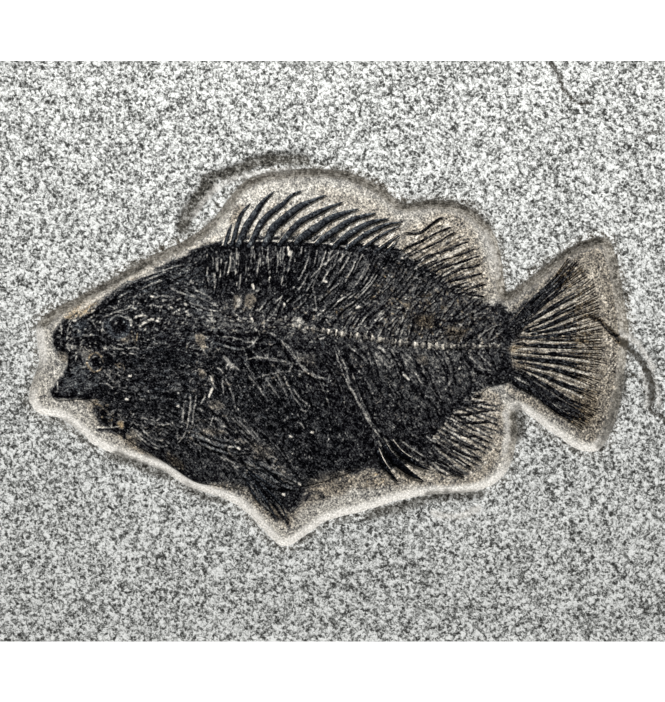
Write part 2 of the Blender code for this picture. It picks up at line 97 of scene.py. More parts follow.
THROAT_SEAM = [(-61.5,-18), (-55,-18), (-49.5,-17.5), (-45.5,-16)]
BELLY = [(-61.5,-18), (-57.5,-21.5), (-52,-25), (-46.5,-28.3), (-41.5,-31.5), (-37,-34.5), (-32,-35.5),
    (-25,-36.5)]
PELVIC_SEAM = [(-25,-36.5), (-22,-31.5), (-15,-32.5), (-8,-36)]
BELLY_REAR = [(-8,-36), (-0.5,-34), (6,-31.5), (11,-27.5), (14,-24.5), (17.5,-24)]
ANAL_SEAM = [(17.5,-24), (26,-21.5), (30,-19.5), (32,-16), (35.5,-15), (39,-12)]
STALK_UNDER = [(39,-12), (41.5,-9.5), (46.5,-8)]
TAIL_SEAM = [(46.5,-8), (47,1), (46.5,10)]
STALK_BACK = [(46.5,10), (42.5,11.6), (39.5,12.5)]
DORSAL_SEAM = [(39.5,12.5), (36.5,14.5), (31,18), (26,21.5), (20.5,24.5), (18,27)]
BACK = [(18,27), (11.5,27.8), (4.5,28.4), (-8.5,29), (-19,29), (-27.5,29), (-34,28.5), (-38.5,27.5)]

# Free edges of the fins
SOFT_DORSAL_EDGE = [(18,27), (18.5,30), (21,32), (26,33.8), (30,35.5), (34.5,32.8), (38,29), (40,25),
    (41,20), (43,15.5), (39.5,12.5)]
SOFT_ANAL_EDGE = [(39,-12), (43.5,-14), (44.5,-18.5), (42.5,-24.5), (39,-29.5), (34.5,-33.2), (29.5,-33.8),
    (24,-30.5), (20,-28), (17.5,-24)]
TAIL_EDGE = [(46.5,-8), (52.5,-12), (57.5,-15.3), (63,-18.6), (67.5,-21), (71.5,-19.5), (74,-12.5),
    (76,-4.5), (76.5,4), (75.5,13.5), (73.5,23), (70.5,27), (66.5,26), (61.5,22.5), (57.5,19), (52.5,13.8),
    (46.5,10)]
PELVIC_EDGE = [(-8,-36), (-9,-41.5), (-12,-45), (-17,-42.5), (-22,-38.5), (-25,-36.5)]

# Course of the backbone
BACKBONE = [(-28,8.2), (-22,7.6), (-11.5,6.8), (-0.5,5), (10,3.4), (20.5,1.8), (31,1.1), (45,1.4)]

# Where the fibres of the fossil rise towards the tail, and where they fall, with their lean there
BACK_HALF = [(-36.4,30.7), (-8.6,31.5), (17.9,28.1), (44.4,14.8), (48.4,5.6), (43.1,1.6), (17.9,2.4),
    (-3.3,6.9), (-31.9,10.3)]
BELLY_HALF = [(-31.9,2.9), (-3.3,4.2), (17.9,0.3), (44.4,-1.1), (45.7,-7.7), (31.1,-20.9), (12.6,-34.2),
    (-11.3,-47.4), (-35.1,-35.5), (-48.4,-26.2), (-33.8,-14.3)]
LEANS = ((BACK_HALF, 0.77), (BELLY_HALF, 0.0))


class Tone(Enum):
    """How light, how brown and how blue a mark is."""

    BONE = (0.08, 0.1, 0.3)
    BLACK = (0.0, 0.0, 0.1)
    SLATE = (0.22, 0.0, 0.7)
    GREY = (0.40, 0.1, 0.15)
    DUN = (0.42, 0.45, 0.0)
    PALE = (0.72, 0.04, 0.0)
    CREAM = (0.95, 0.13, 0.0)
    OCHRE = (0.58, 1.0, 0.0)
    RUST = (0.22, 0.9, 0.0)
    ASH = (0.24, 0.2, 0.2)
    TAN = (0.55, 0.30, 0.0)
    HAZE = (0.36, 0.05, 0.5)
    OLIVE = (0.44, 0.38, 0.1)
    SOIL = (0.32, 0.5, 0.0)


BONE, BLACK, SLATE, GREY, DUN, PALE, CREAM, OCHRE, RUST, ASH, TAN, HAZE, OLIVE, SOIL = Tone

# Tones that marks often mix
DARK_PALE = (BLACK, PALE)
DARK_GREY = (BLACK, GREY)
BROKEN = (GREY, DUN, PALE, BLACK)
SHARDS = (GREY, PALE, BLACK, DUN)
FLECKS = (PALE, PALE, CREAM, DUN)
MATRIX = (SOIL, CREAM, CREAM, PALE, BONE)
# A tone lighter than this gets a painted shadow line below it where the canvas is shaded
PALE_FROM = 0.35
# Spacing of the points along a drawn line
LINE_STEP = 0.9


# Lines, loops and noise

def smooth(points: Points, step: float, closed: bool = False) -> Array:
    """Draw a smooth line through points.

    Args:
        points: the points in order.
        step: spacing of the points that come back.
        closed: whether the line returns to its first point.

    Returns:
        An array of evenly spaced points.
    """
    knots = np.array(points, float)
    if closed:
        knots = np.vstack([knots[-1], knots, knots[0], knots[1]])
    else:
        knots = np.vstack([2 * knots[0] - knots[1], knots, 2 * knots[-1] - knots[-2]])
    t = np.linspace(0.0, 1.0, SPAN_STEPS, endpoint=False)[:, None]
    spans = []
    for a, b, c, d in zip(knots, knots[1:], knots[2:], knots[3:]):
        spans.append(0.5 * (2 * b + (c - a) * t + (2 * a - 5 * b + 4 * c - d) * t**2
                            + (3 * b - a - 3 * c + d) * t**3))
    line = np.vstack(spans + [knots[-2][None, :]])
    length = np.concatenate([[0.0], np.cumsum(np.hypot(*np.diff(line, axis=0).T))])
    count = max(2, int(round(length[-1] / step)) + 1)
    places = np.linspace(0.0, length[-1], count)
    if closed:
        places = places[:-1]
    return np.column_stack([np.interp(places, length, line[:, k]) for k in (0, 1)])


def chain(lines: list[Points], step: float) -> Array:
    """Join lines end to end into one closed loop.

    Args:
        lines: lines that share their end points, in any order and direction.
        step: spacing of the points that come back.

    Returns:
        The loop's points.
    """
    left = [list(line) for line in lines]
    loop = [smooth(left[0], step)]
    end = left.pop(0)[-1]
    while left:
        for number, line in enumerate(left):
            if min(math.dist(line[0], end), math.dist(line[-1], end)) < TOUCHING:
                break
        line = left.pop(number)
        if math.dist(line[0], end) > TOUCHING:
            line = line[::-1]
        loop.append(smooth(line, step))
        end = line[-1]
    return np.vstack([part[:-1] for part in loop])


def nearest(line: Array, x: Array, y: Array, closed: bool = False) -> tuple[Array, ...]:
    """Measure points against a line.

    Args:
        line: the line's points.
        x, y: the points to measure.
        closed: whether the line returns to its first point.

    Returns:
        The distance to the line, the fraction of the line passed, and the nearest x and y.
    """
    ends = np.vstack([line, line[:1]]) if closed else line
    best = np.full(x.shape, np.inf)
    place = np.zeros(x.shape)
    near_x = np.zeros(x.shape)
    near_y = np.zeros(x.shape)
    for i, (a, b) in enumerate(zip(ends, ends[1:])):
        run = b - a
        t = np.clip(((x - a[0]) * run[0] + (y - a[1]) * run[1]) / max(run @ run, 1e-12), 0.0, 1.0)
        px, py = a[0] + t * run[0], a[1] + t * run[1]
        away = (x - px) ** 2 + (y - py) ** 2
        closer = away < best
        best = np.where(closer, away, best)
        place = np.where(closer, (i + t) / (len(ends) - 1), place)
        near_x, near_y = np.where(closer, px, near_x), np.where(closer, py, near_y)
    return np.sqrt(best), place, near_x, near_y


def inside(loop: Array, x: Array, y: Array) -> Array:
    """Tell which points lie inside a closed loop.

    Args:
        loop: the loop's points.
        x, y: the points to test.

    Returns:
        Whether each lies inside.
    """
    within = np.zeros(x.shape, bool)
    for (ax, ay), (bx, by) in zip(loop, np.roll(loop, -1, axis=0)):
        if ay != by:
            within ^= ((ay > y) != (by > y)) & (x < (bx - ax) * (y - ay) / (by - ay) + ax)
    return within


def depth_in(loop: Array, x: Array, y: Array) -> Array:
    """Distance in from a closed loop, below 0 for points outside it."""
    return nearest(loop, x, y, closed=True)[0] * np.where(inside(loop, x, y), 1, -1)


def side_step(line: Points, start: float, end: float) -> Points:
    """Shift a line sideways by a distance that grows along it.

    Args:
        line: the line.
        start, end: the shift at its two ends, to the left of its run where it is above 0.

    Returns:
        The shifted line.
    """
    spots = np.array(line)
    run = np.gradient(spots, axis=0)
    run /= np.hypot(*run.T)[:, None]
    shift = np.linspace(start, end, len(spots))[:, None]
    return [tuple(spot) for spot in spots + np.column_stack([-run[:, 1], run[:, 0]]) * shift]


def ease(value: Array, low: float, high: float) -> Array:
    """Rise smoothly from 0 at low to 1 at high."""
    t = np.clip((value - low) / (high - low), 0.0, 1.0)
    return t * t * (3 - 2 * t)


def sway(draw: np.random.Generator, size: int) -> Array:
    """Random values around 0, none of them far out."""
    return draw.normal(size=size).clip(-1.5, 1.5)


@dataclass(frozen=True)
class Grain:
    """Smooth seeded noise over the plane.

    Attributes:
        seed: start of the random draw.
        size: width of one bump in millimetres.
        octaves: how many finer layers are added.
    """

    seed: int
    size: float
    octaves: int = 1

    def __call__(self, x: Array, y: Array) -> Array:
        """Noise between about -1 and 1 at each point.

        Args:
            x, y: the points.

        Returns:
            The noise at each.
        """
        total = np.zeros(x.shape)
        weight, reach, size = 1.0, 0.0, self.size
        for octave in range(self.octaves):
            draw = np.random.default_rng(self.seed + LAYER_SEED * octave)
            table = draw.uniform(-1.0, 1.0, (TABLE_SIDE, TABLE_SIDE))
            u, v = x / size + LAYER_SHIFT * octave, y / size
            i, j = np.floor(u).astype(int), np.floor(v).astype(int)
            s, t = u - i, v - j
            s, t = s * s * (3 - 2 * s), t * t * (3 - 2 * t)
            i, j, i_next, j_next = (place % TABLE_SIDE for place in (i, j, i + 1, j + 1))
            near = table[i, j] * (1 - s) + table[i_next, j] * s
            far = table[i, j_next] * (1 - s) + table[i_next, j_next] * s
            total += weight * (near * (1 - t) + far * t)
            reach += weight
            weight *= LAYER_WEIGHT
            size *= LAYER_SIZE
        return total / reach


# Drawing on the fish

@dataclass(frozen=True)
class Lines:
    """Lines of one kind.

    Attributes:
        tone: their colour.
        start: half width where a line starts.
        end: half width where it ends.
        lift: how far they stand up, or sink in where it is below 0.
        paths: the lines.
        cover: how fully they hide what they cross.
    """

    tone: Tone
    start: float
    end: float
    lift: float
    paths: list[Points]
    cover: float = 1.0


@dataclass(frozen=True)
class Patch:
    """A soft-edged area of one colour.

    Attributes:
        tone: its colour.
        loop: its outline.
        soft: width of the fade at its edge.
        cover: how fully it hides what is under it.
        lift: how far it stands up, or sinks in where it is below 0.
    """

    tone: Tone
    loop: Points
    soft: float
    cover: float = 1.0
    lift: float = 0.0


@dataclass(frozen=True)
class Thatch:
    """Many short fibres that lie about the same way inside an area.

    Attributes:
        loop: the area's outline.
        angle: their direction in degrees from the fish's length.
        spread: how far the direction strays.
        count: how many fibres there are.
        length: their mean length.
        width: their mean half width.
        tones: the colours that they are drawn from.
        seed: start of the random draw.
        lift: how far they stand up.
    """

    loop: Points
    angle: float
    spread: float
    count: int
    length: float
    width: float
    tones: tuple[Tone, ...]
    seed: int
    lift: float


@dataclass(frozen=True)
class Comb:
    """A row of thin bones that run from one guide to another, each dark with a lit flank.

    Attributes:
        root: the guide that they start from.
        tip: the guide that they end on.
        count: how many there are.
        width: their half width at the root.
        tones: the colours of the bone and of its lit flank.
        bow: how far they bend sideways, as a share of their length.
        stray: how far their ends stray.
        lit: the share of each one whose flank is lit.
        seed: start of the random draw.
        lift: how far they stand up.
    """

    root: Points
    tip: Points
    count: int
    width: float
    tones: tuple[Tone, Tone]
    bow: float
    stray: float
    lit: float
    seed: int
    lift: float


@dataclass
class Canvas:
    """Height and colour over the whole fish on a regular lattice, which marks are drawn into.

    Attributes:
        pitch: spacing of the lattice.
        low: its lowest corner.
        high: its highest corner.
        waver: how far a drawn edge strays from its line.
        shaded: whether a pale line gets a painted shadow line below it, and is broken up.
    """

    pitch: float = 0.2
    low: tuple[float, float] = (-82.0, -54.0)
    high: tuple[float, float] = (82.0, 54.0)
    waver: float = 0.16
    shaded: bool = False

    def __post_init__(self) -> None:
        """Lay out the lattice with plain matrix on it."""
        columns = int(round((self.high[0] - self.low[0]) / self.pitch)) + 1
        rows = int(round((self.high[1] - self.low[1]) / self.pitch)) + 1
        self.x, self.y = np.meshgrid(np.linspace(self.low[0], self.high[0], columns),
                                     np.linspace(self.low[1], self.high[1], rows))
        self.wx = self.x + self.waver * Grain(11, 1.3, 2)(self.x, self.y)
        self.wy = self.y + self.waver * Grain(12, 1.3, 2)(self.x, self.y)
        self.height = 0.10 * Grain(13, 3.5, 2)(self.x, self.y) + 0.05 * Grain(14, 0.8, 2)(self.x, self.y)
        self.tone = 0.60 + 0.07 * Grain(15, 5.0, 3)(self.x, self.y)
        self.warm = 0.07 + 0.07 * Grain(16, 9.0)(self.x, self.y)
        self.blue = np.zeros(self.x.shape)
        self.lean = np.full(self.x.shape, 0.5)
        self.gaps = ease(Grain(17, 1.2, 2)(self.x, self.y), -0.3, 0.12)

    def window(self, points: Array, margin: float) -> tuple[slice, slice]:
        """The part of the lattice around some points.

        Args:
            points: the points.
            margin: how far around them it reaches.

        Returns:
            Its rows and its columns.
        """
        first = (points.min(axis=0) - margin - np.array(self.low)) / self.pitch
        last = (points.max(axis=0) + margin - np.array(self.low)) / self.pitch
        return (slice(max(0, int(first[1])), max(0, int(last[1]) + 2)),
                slice(max(0, int(first[0])), max(0, int(last[0]) + 2)))

    def lay(self, part: tuple[slice, slice], tone: Tone, mask: Array, lift: Array) -> None:
        """Blend a colour into part of the lattice and raise it.

        Args:
            part: the part's rows and columns.
            tone: the colour.
            mask: how fully it hides what is there.
            lift: how much it adds to the height.
        """
        for layer, value in zip((self.tone, self.warm, self.blue), tone.value):
            layer[part] += (value - layer[part]) * mask
        self.height[part] += lift

    def draw_line(self, points: Points, tone: Tone, start: float, end: float, lift: float,
                  cover: float = 1.0) -> None:
        """Draw one line.

        Args:
            points: the line.
            tone: its colour.
            start, end: half widths at its two ends.
            lift: how far it stands up.
            cover: how fully it hides what it crosses.
        """
        line = smooth(points, LINE_STEP)
        pale = self.shaded and tone.value[0] > PALE_FROM
        if pale:
            # Painted shadow: a dark line under the lower flank of a pale stroke.
            below = [(x + 0.08, y - start - 0.2) for x, y in points]
            self.draw_line(below, BLACK, start * 0.8, end * 0.8, -0.05, 0.7 * cover)
        part = self.window(line, max(start, end) + 0.5)
        away, place, _, _ = nearest(line, self.wx[part], self.wy[part])
        if pale and len(points) > 2:
            cover = cover * (0.65 + 0.35 * self.gaps[part])
        width = (start + (end - start) * place) * np.clip(8 * np.minimum(place, 1 - place) + 0.45, 0, 1)
        mask = 1 - ease(away, width - 0.12, width + 0.1)
        ridge = np.sqrt(np.clip(1 - (away / (width + 0.12)) ** 2, 0, 1))
        self.lay(part, tone, mask * cover, lift * ridge)

    def draw(self, mark: Lines | Patch | Thatch | Comb) -> None:
        """Draw a mark of any kind.

        Args:
            mark: the mark.
        """
        if isinstance(mark, Lines):
            for path in mark.paths:
                self.draw_line(path, mark.tone, mark.start, mark.end, mark.lift, mark.cover)
        elif isinstance(mark, Patch):
            loop = smooth(mark.loop, LINE_STEP, closed=True)
            part = self.window(loop, mark.soft + 0.5)
            x, y = self.wx[part], self.wy[part]
            stray = min(0.7, 0.4 + mark.soft * 0.2)
            x, y = x + stray * Grain(18, 1.9, 2)(x, y), y + stray * Grain(19, 1.9, 2)(x, y)
            mask = ease(depth_in(loop, x, y), -mark.soft / 2, mark.soft / 2)
            self.lay(part, mark.tone, mask * mark.cover, mark.lift * mask)
        elif isinstance(mark, Comb):
            self.draw_comb(mark)
        else:
            self.draw_thatch(mark)

    def draw_comb(self, mark: Comb) -> None:
        """Draw a row of thin bones.

        Args:
            mark: the row.
        """
        draw = np.random.default_rng(mark.seed)
        roots, tips = smooth(mark.root, 0.5), smooth(mark.tip, 0.5)
        for number in range(mark.count):
            place = (number + 0.5 + 0.3 * draw.uniform(-1, 1)) / mark.count
            first = roots[int(place * (len(roots) - 1))] + mark.stray * sway(draw, 2)
            last = tips[int(place * (len(tips) - 1))] + mark.stray * sway(draw, 2)
            across = np.array([first[1] - last[1], last[0] - first[0]])
            middle = (first + last) / 2 + across * mark.bow * draw.uniform(0.5, 1.5)
            line = smooth([tuple(first), tuple(middle), tuple(last)], 0.5)
            width = mark.width * draw.uniform(0.8, 1.2)
            self.draw_line([tuple(spot) for spot in line[::2]], mark.tones[0], width, width * 0.7, mark.lift)
            across = across / math.hypot(*across)
            across *= 1 if across[1] > 0.3 * across[0] else -1
            reach = mark.lit * draw.uniform(0.5, 1.3)
            while reach > 0.05 and len(line) > 4:
                part = min(reach, draw.uniform(0.15, 0.5))
                start = int(draw.uniform(0, max(0.01, 1 - part)) * len(line))
                piece = line[start:start + max(3, int(part * len(line)))] + across * (width + 0.08)
                reach -= part
                if len(piece) > 2:
                    self.draw_line([tuple(spot) for spot in piece[::2]], mark.tones[1], width * 0.75,
                                   width * 0.6, mark.lift * 0.6, draw.uniform(0.5, 1.0))

    def draw_thatch(self, mark: Thatch) -> None:
        """Draw the fibres of an area.

        Args:
            mark: the area and its fibres.
        """
        draw = np.random.default_rng(mark.seed)
        loop = smooth(mark.loop, 1.5, closed=True)
        low, high = loop.min(axis=0), loop.max(axis=0)
        made = 0
        while made < mark.count:
            middle = low + (high - low) * draw.random(2)
            if not inside(loop, middle[:1], middle[1:])[0]:
                continue
            made += 1
            turn = math.radians(mark.angle + mark.spread * draw.normal())
            along = np.array([math.cos(turn), math.sin(turn)])
            across = np.array([-along[1], along[0]])
            length = mark.length * draw.uniform(0.5, 1.5)
            bend = length * 0.12 * draw.normal()
            path = [middle - along * length / 2, middle + across * bend, middle + along * length / 2]
            width = mark.width * draw.uniform(0.6, 1.4)
            tone = mark.tones[int(draw.integers(len(mark.tones)))]
            self.draw_line([tuple(p) for p in path], tone, width, width * 0.6,
                           mark.lift * draw.uniform(0.2, 1.0), draw.uniform(0.5, 1.0))

    def set_lean(self, loop: Points, lean: float) -> None:
        """Turn the fibres inside a loop: 0 falls towards the tail, 0.5 lies level and 1 rises.

        Args:
            loop: the loop.
            lean: the turn.
        """
        away = depth_in(smooth(loop, 1.5, closed=True), self.x, self.y)
        self.lean += (lean - self.lean) * ease(away, -1.5, 1.5)

    def colors(self, x: Array, y: Array) -> dict[str, Array]:
        """The colour layers at each point, by name."""
        return {"lean": self.sample(self.lean, x, y),
                "tone": self.sample(self.tone, x, y),
                "warm": np.clip(self.sample(self.warm, x, y), 0, 1),
                "blue": np.clip(self.sample(self.blue, x, y), 0, 1)}

    def sample(self, layer: Array, x: Array, y: Array) -> Array:
        """Read a layer between the points of the lattice.

        Args:
            layer: the layer.
            x, y: where to read it.

        Returns:
            Its value at each place.
        """
        u = np.clip((x - self.low[0]) / self.pitch, 0, layer.shape[1] - 1.001)
        v = np.clip((y - self.low[1]) / self.pitch, 0, layer.shape[0] - 1.001)
        i, j = u.astype(int), v.astype(int)
        s, t = u - i, v - j
        return ((layer[j, i] * (1 - s) + layer[j, i + 1] * s) * (1 - t)
                + (layer[j + 1, i] * (1 - s) + layer[j + 1, i + 1] * s) * t)


# Shader building

class Socket:
    """A shader value that Python arithmetic turns into Math nodes."""

    def __init__(self, book: "NodeBook", link: object) -> None:
        """Wrap an output socket."""
        self.book = book
        self.link = link

    def math(self, operation: str, first: object, second: object) -> "Socket":
        """Add a Math node."""
        return self.book.add("ShaderNodeMath", {"operation": operation}, {0: first, 1: second})

    def __add__(self, other: object) -> "Socket":
        """Sum."""
        return self.math("ADD", self, other)

    def __sub__(self, other: object) -> "Socket":
        """Difference."""
        return self.math("SUBTRACT", self, other)

    def __rsub__(self, other: object) -> "Socket":
        """Difference from a number on the left."""
        return self.math("SUBTRACT", other, self)

    def __mul__(self, other: object) -> "Socket":
        """Product."""
        return self.math("MULTIPLY", self, other)


class NodeBook:
    """The nodes of one material, added through a single method."""

    def __init__(self, name: str) -> None:
        """Start a material with its Principled shader.

        Args:
            name: the material's name.
        """
        self.material = bpy.data.materials.new(name)
        self.material.use_nodes = True
        self.nodes = self.material.node_tree.nodes
        self.links = self.material.node_tree.links
        self.shader = self.nodes["Principled BSDF"]

    def add(self, kind: str, settings: dict, sockets: dict, output: object = 0) -> Socket:
        """Add a node.

        Args:
            kind: the node's type.
            settings: its properties; a ramp's stops come under the key stops.
            sockets: values or Sockets by input name or number.
            output: the output that comes back.

        Returns:
            The wrapped output.
        """
        node = self.nodes.new(kind)
        for key, value in settings.items():
            if key == "stops":
                self.set_stops(node.color_ramp, value)
            else:
                setattr(node, key, value)
        for key, value in sockets.items():
            self.plug(node.inputs[key], value)
        return Socket(self, node.outputs[output])

    def plug(self, target: object, value: object) -> None:
        """Link a Socket to an input, or set the input's own value.

        Args:
            target: the input.
            value: a Socket, or a number, colour or vector.
        """
        if isinstance(value, Socket):
            self.links.new(value.link, target)
        else:
            target.default_value = value

    @staticmethod
    def set_stops(ramp: object, stops: list) -> None:
        """Give a ramp its (place, colour) stops.

        Args:
            ramp: the ramp.
            stops: its stops in order.
        """
        while len(ramp.elements) > 1:
            ramp.elements.remove(ramp.elements[-1])
        for number, (place, color) in enumerate(stops):
            stop = ramp.elements[0] if number == 0 else ramp.elements.new(place)
            stop.position = place
            stop.color = color

    def coords(self) -> Socket:
        """Object coordinates in metres, turned so that no grain runs along an edge."""
        where = self.add("ShaderNodeTexCoord", {}, {}, "Object")
        return self.add("ShaderNodeMapping", {}, {"Vector": where, "Rotation": (0.4, 0.3, 0.6)})

    def attribute(self, name: str) -> Socket:
        """A float value that the mesh carries."""
        return self.add("ShaderNodeAttribute", {"attribute_name": name}, {}, "Fac")

    def noise(self, where: Socket, wave: float, detail: float, roughness: float = 0.5,
              twist: float = 0.0) -> Socket:
        """Noise between 0 and 1.

        Args:
            where: coordinates.
            wave: width of its waves in millimetres.
            detail: how many finer layers it has.
            roughness: how strong they are.
            twist: how far its shapes are drawn out.

        Returns:
            The noise.
        """
        return self.add("ShaderNodeTexNoise", {"normalize": True},
                        {"Vector": where, "Scale": 1.0 / (wave * MM), "Detail": detail,
                         "Roughness": roughness, "Distortion": twist})

    def ramp(self, value: Socket, stops: list) -> Socket:
        """Colour from a value."""
        return self.add("ShaderNodeValToRGB", {"stops": stops}, {0: value}, "Color")

    def spread(self, value: Socket, low: float, high: float, to_low: float = 0.0,
               to_high: float = 1.0) -> Socket:
        """Map one range onto another, held at its ends.

        Args:
            value: what is mapped.
            low, high: the range that it comes from.
            to_low, to_high: the range that it goes to.

        Returns:
            The mapped value.
        """
        return self.add("ShaderNodeMapRange", {"clamp": True},
                        {"Value": value, "From Min": low, "From Max": high, "To Min": to_low,
                         "To Max": to_high})

    def band(self, value: Socket, rise: float, full: float, hold: float, gone: float) -> Socket:
        """A hump: it starts at rise, is 1 between full and hold, and ends at gone."""
        return self.spread(value, rise, full) * self.spread(value, gone, hold)

    def mix(self, factor: object, first: object, second: object, blend: str = "MIX") -> Socket:
        """Mix two colours."""
        return self.add("ShaderNodeMix", {"data_type": "RGBA", "blend_type": blend},
                        {0: factor, 6: first, 7: second}, 2)

    def bump(self, height: Socket, depth: float, strength: float) -> Socket:
        """A normal bent by a height, with its depth in millimetres."""
        return self.add("ShaderNodeBump", {},
                        {"Strength": strength, "Distance": depth * MM, "Height": height}, "Normal")

    def finish(self, color: object, roughness: object, normal: Socket, specular: float) -> bpy.types.Material:
        """Feed the shader and give the material.

        Args:
            color, roughness, normal: what changes over the surface.
            specular: strength of the reflection.

        Returns:
            The material.
        """
        self.plug(self.shader.inputs["Base Color"], color)
        self.plug(self.shader.inputs["Roughness"], roughness)
        self.plug(self.shader.inputs["Normal"], normal)
        self.shader.inputs["Specular IOR Level"].default_value = specular
        return self.material


def rgb(red: int, green: int, blue: int) -> tuple[float, float, float, float]:
    """A linear colour from display values of 0 to 255.

    Args:
        red, green, blue: the display values.

    Returns:
        The colour with its alpha.
    """
    def linear(value: int) -> float:
        """One channel."""
        level = value / 255
        return level / 12.92 if level <= 0.04045 else ((level + 0.055) / 1.055) ** 2.4
    return linear(red), linear(green), linear(blue), 1.0


# Colours of the finishes by lightness, and the tints that warm and blue marks are multiplied by
GREYS = [(0.0, rgb(1, 1, 3)), (0.06, rgb(12, 12, 14)), (0.17, rgb(40, 40, 43)), (0.32, rgb(80, 80, 80)),
         (0.5, rgb(128, 126, 122)), (0.7, rgb(180, 177, 169)), (0.88, rgb(226, 222, 212)),
         (1.0, rgb(250, 247, 240))]
RAW_STONE = [(0.0, rgb(50, 50, 48)), (0.2, rgb(92, 93, 90)), (0.42, rgb(150, 151, 148)),
             (0.58, rgb(194, 195, 192)), (0.76, rgb(224, 225, 222)), (1.0, rgb(240, 241, 238))]
# The next ramps paint light and shade on the limestone: a painted highlight where walls and lips face the
# lamp; painted shade where walls face away, about the rim and in the scoops, along with darker smears; and
# painted shade inside the cracks.
LAMP_HIGHLIGHT_RAMP = [(0.0, rgb(172, 168, 160)), (1.0, rgb(246, 243, 237))]
WALL_SHADE_RAMP = [(0.0, rgb(100, 95, 85)), (0.5, rgb(178, 172, 160)), (1.0, rgb(228, 222, 211))]
BROWN = [(0.0, rgb(48, 42, 34)), (1.0, rgb(160, 153, 140))]
SHADE_SMEAR_RAMP = [(0.0, rgb(14, 13, 11)), (1.0, rgb(104, 101, 93))]
CRACK_SHADE_COLOR = rgb(52, 48, 40)
WARM_TINT = (1.0, 0.74, 0.42, 1.0)
BLUE_TINT = (0.76, 0.92, 1.08, 1.0)
WHITE = (1.0, 1.0, 1.0, 1.0)


def buried_color(book: NodeBook, where: Socket, lightness: Socket, grain: Socket, coarse: Socket,
                 contrast: float) -> tuple[Socket, Socket]:
    """Colour what was drawn, stippled with its grain.

    Args:
        book: the material's nodes.
        where: coordinates.
        lightness: how light the surface is before its grain.
        grain, coarse: fine and broad noise.
        contrast: strength of the stipple.

    Returns:
        The colour and its lightness.
    """
    depth = book.spread(lightness, 0.0, 0.65, 0.85 * contrast, 1.7)
    fleck = book.spread(book.noise(where, 0.85, 1.0, 0.5), 0.66, 0.72, 0.0, 0.3)
    value = lightness + (grain - 0.5) * depth + (coarse - 0.5) * 0.4 * depth + fleck
    color = book.ramp(value, GREYS)
    color = book.mix(book.attribute("warm"), color, WARM_TINT, "MULTIPLY")
    return book.mix(book.attribute("blue"), color, BLUE_TINT, "MULTIPLY"), value


@dataclass(frozen=True)
class Limestone:
    """Speckled grey limestone, creamier and finer where it was worked.

    Attributes:
        speckle: width of a speckle in millimetres.
        worked: width of the finer speckle inside the hollow.
        tool: spacing of the tool's marks on the walls.
    """

    speckle: float = 0.66
    worked: float = 0.46
    tool: float = 0.55

    def build(self) -> bpy.types.Material:
        """Make the material.

        Returns:
            The material.
        """
        book = NodeBook("limestone")
        where = book.coords()
        depth, facing = book.attribute("depth"), book.attribute("facing")
        stain, crack = book.attribute("stain"), book.attribute("crack")
        blot = book.noise(where, self.speckle * 2.2, 1.0, 0.5, 0.6)
        speckle = book.noise(where, self.speckle, 1.5, 0.55, 0.8) * 0.62 + blot * 0.38
        fine = book.noise(where, self.worked, 2.0, 0.55, 0.5)
        coarse = book.noise(where, self.worked * 3.1, 2.0)
        patch = book.noise(where, 9.0, 3.0, 0.6)
        raw = book.ramp(book.spread(speckle + (patch - 0.5) * 0.12, 0.36, 0.645), RAW_STONE)
        worked, _ = buried_color(book, where, book.attribute("tone"), fine, coarse, 1.55)
        hollow = book.spread(depth + (fine - 0.5) * 0.4, -0.08, 0.1)
        color = book.mix(hollow, raw, worked)
        # How far a wall faces the lamp, and how far it faces away; these steer the painted light and shade
        # below.
        lit, faces_away = book.spread(facing, -0.12, 0.35), book.spread(facing, 0.05, -0.45)
        near = depth + (fine - 0.5) * 0.9
        lamp_highlight = book.ramp(book.spread(fine, 0.3, 0.7), LAMP_HIGHLIGHT_RAMP)
        spotted = book.spread(speckle, 0.36, 0.64)
        wall_shade, brown, shade_smear_color = (book.ramp(spotted, stops) for stops in (WALL_SHADE_RAMP, BROWN, SHADE_SMEAR_RAMP))
        wall = hollow * book.spread(near, 2.5, 1.2)
        # Painted highlight: the hollow's walls that face the lamp are whitened.
        color = book.mix(wall * lit * 0.9, color, lamp_highlight)
        # Painted shade: the hollow's walls that face away from the lamp are darkened.
        color = book.mix(book.band(near, -0.2, 0.3, 1.4, 2.3) * faces_away * 0.85, color, wall_shade)
        # Painted light: a paler band beyond the shaded wall, on the side away from the lamp.
        color = book.mix(book.band(near, 1.8, 2.4, 2.9, 3.5) * faces_away * 0.2, color, lamp_highlight)
        # Painted shade in brown: one ring about the rim on the side away from the lamp, and one just outside
        # the rim on the lit side, where darker patches set by the broad noise are added as well.
        above = book.band(depth + (patch - 0.5) * 1.6, -2.3, 0.0, 0.9, 2.2) * faces_away * 0.56
        below = book.band(depth, -2.9, -0.7, -0.3, 0.0) * (lit * 0.4 + book.spread(patch, 0.5, 0.62) * 0.5)
        sprinkle = book.spread(speckle + (patch - 0.5) * 0.2, 0.6, 0.48)
        color = book.mix((above + below) * sprinkle, color, brown)
        # Painted shade and darker smears, taken from the drawn dark bands.
        color = book.mix(stain * book.spread(speckle, 0.64, 0.5, 0.75, 1.0), color, shade_smear_color)
        # Painted highlight from the drawn lines, on lit lips and edges.
        color = book.mix(book.attribute("bleach") * book.spread(speckle, 0.4, 0.55, 0.6, 1.0), color, lamp_highlight)
        # Painted shade inside the cracks: their narrow core is darkened.
        crack_shade = book.spread(crack + (speckle - 0.5) * 1.6 + (fine - 0.5) * 0.8, 0.7, 0.0, 0.0, 0.85)
        color = book.mix(crack_shade, color, CRACK_SHADE_COLOR)
        marks = book.add("ShaderNodeMath", {"operation": "SINE"},
                         {0: depth * (2 * math.pi / self.tool) + (coarse - 0.5) * 7.0})
        height = speckle * (1 - hollow) + fine * hollow * 0.55 + marks * wall * 0.07
        return book.finish(color, 0.93, book.bump(height, 0.4, 0.9), 0.2)


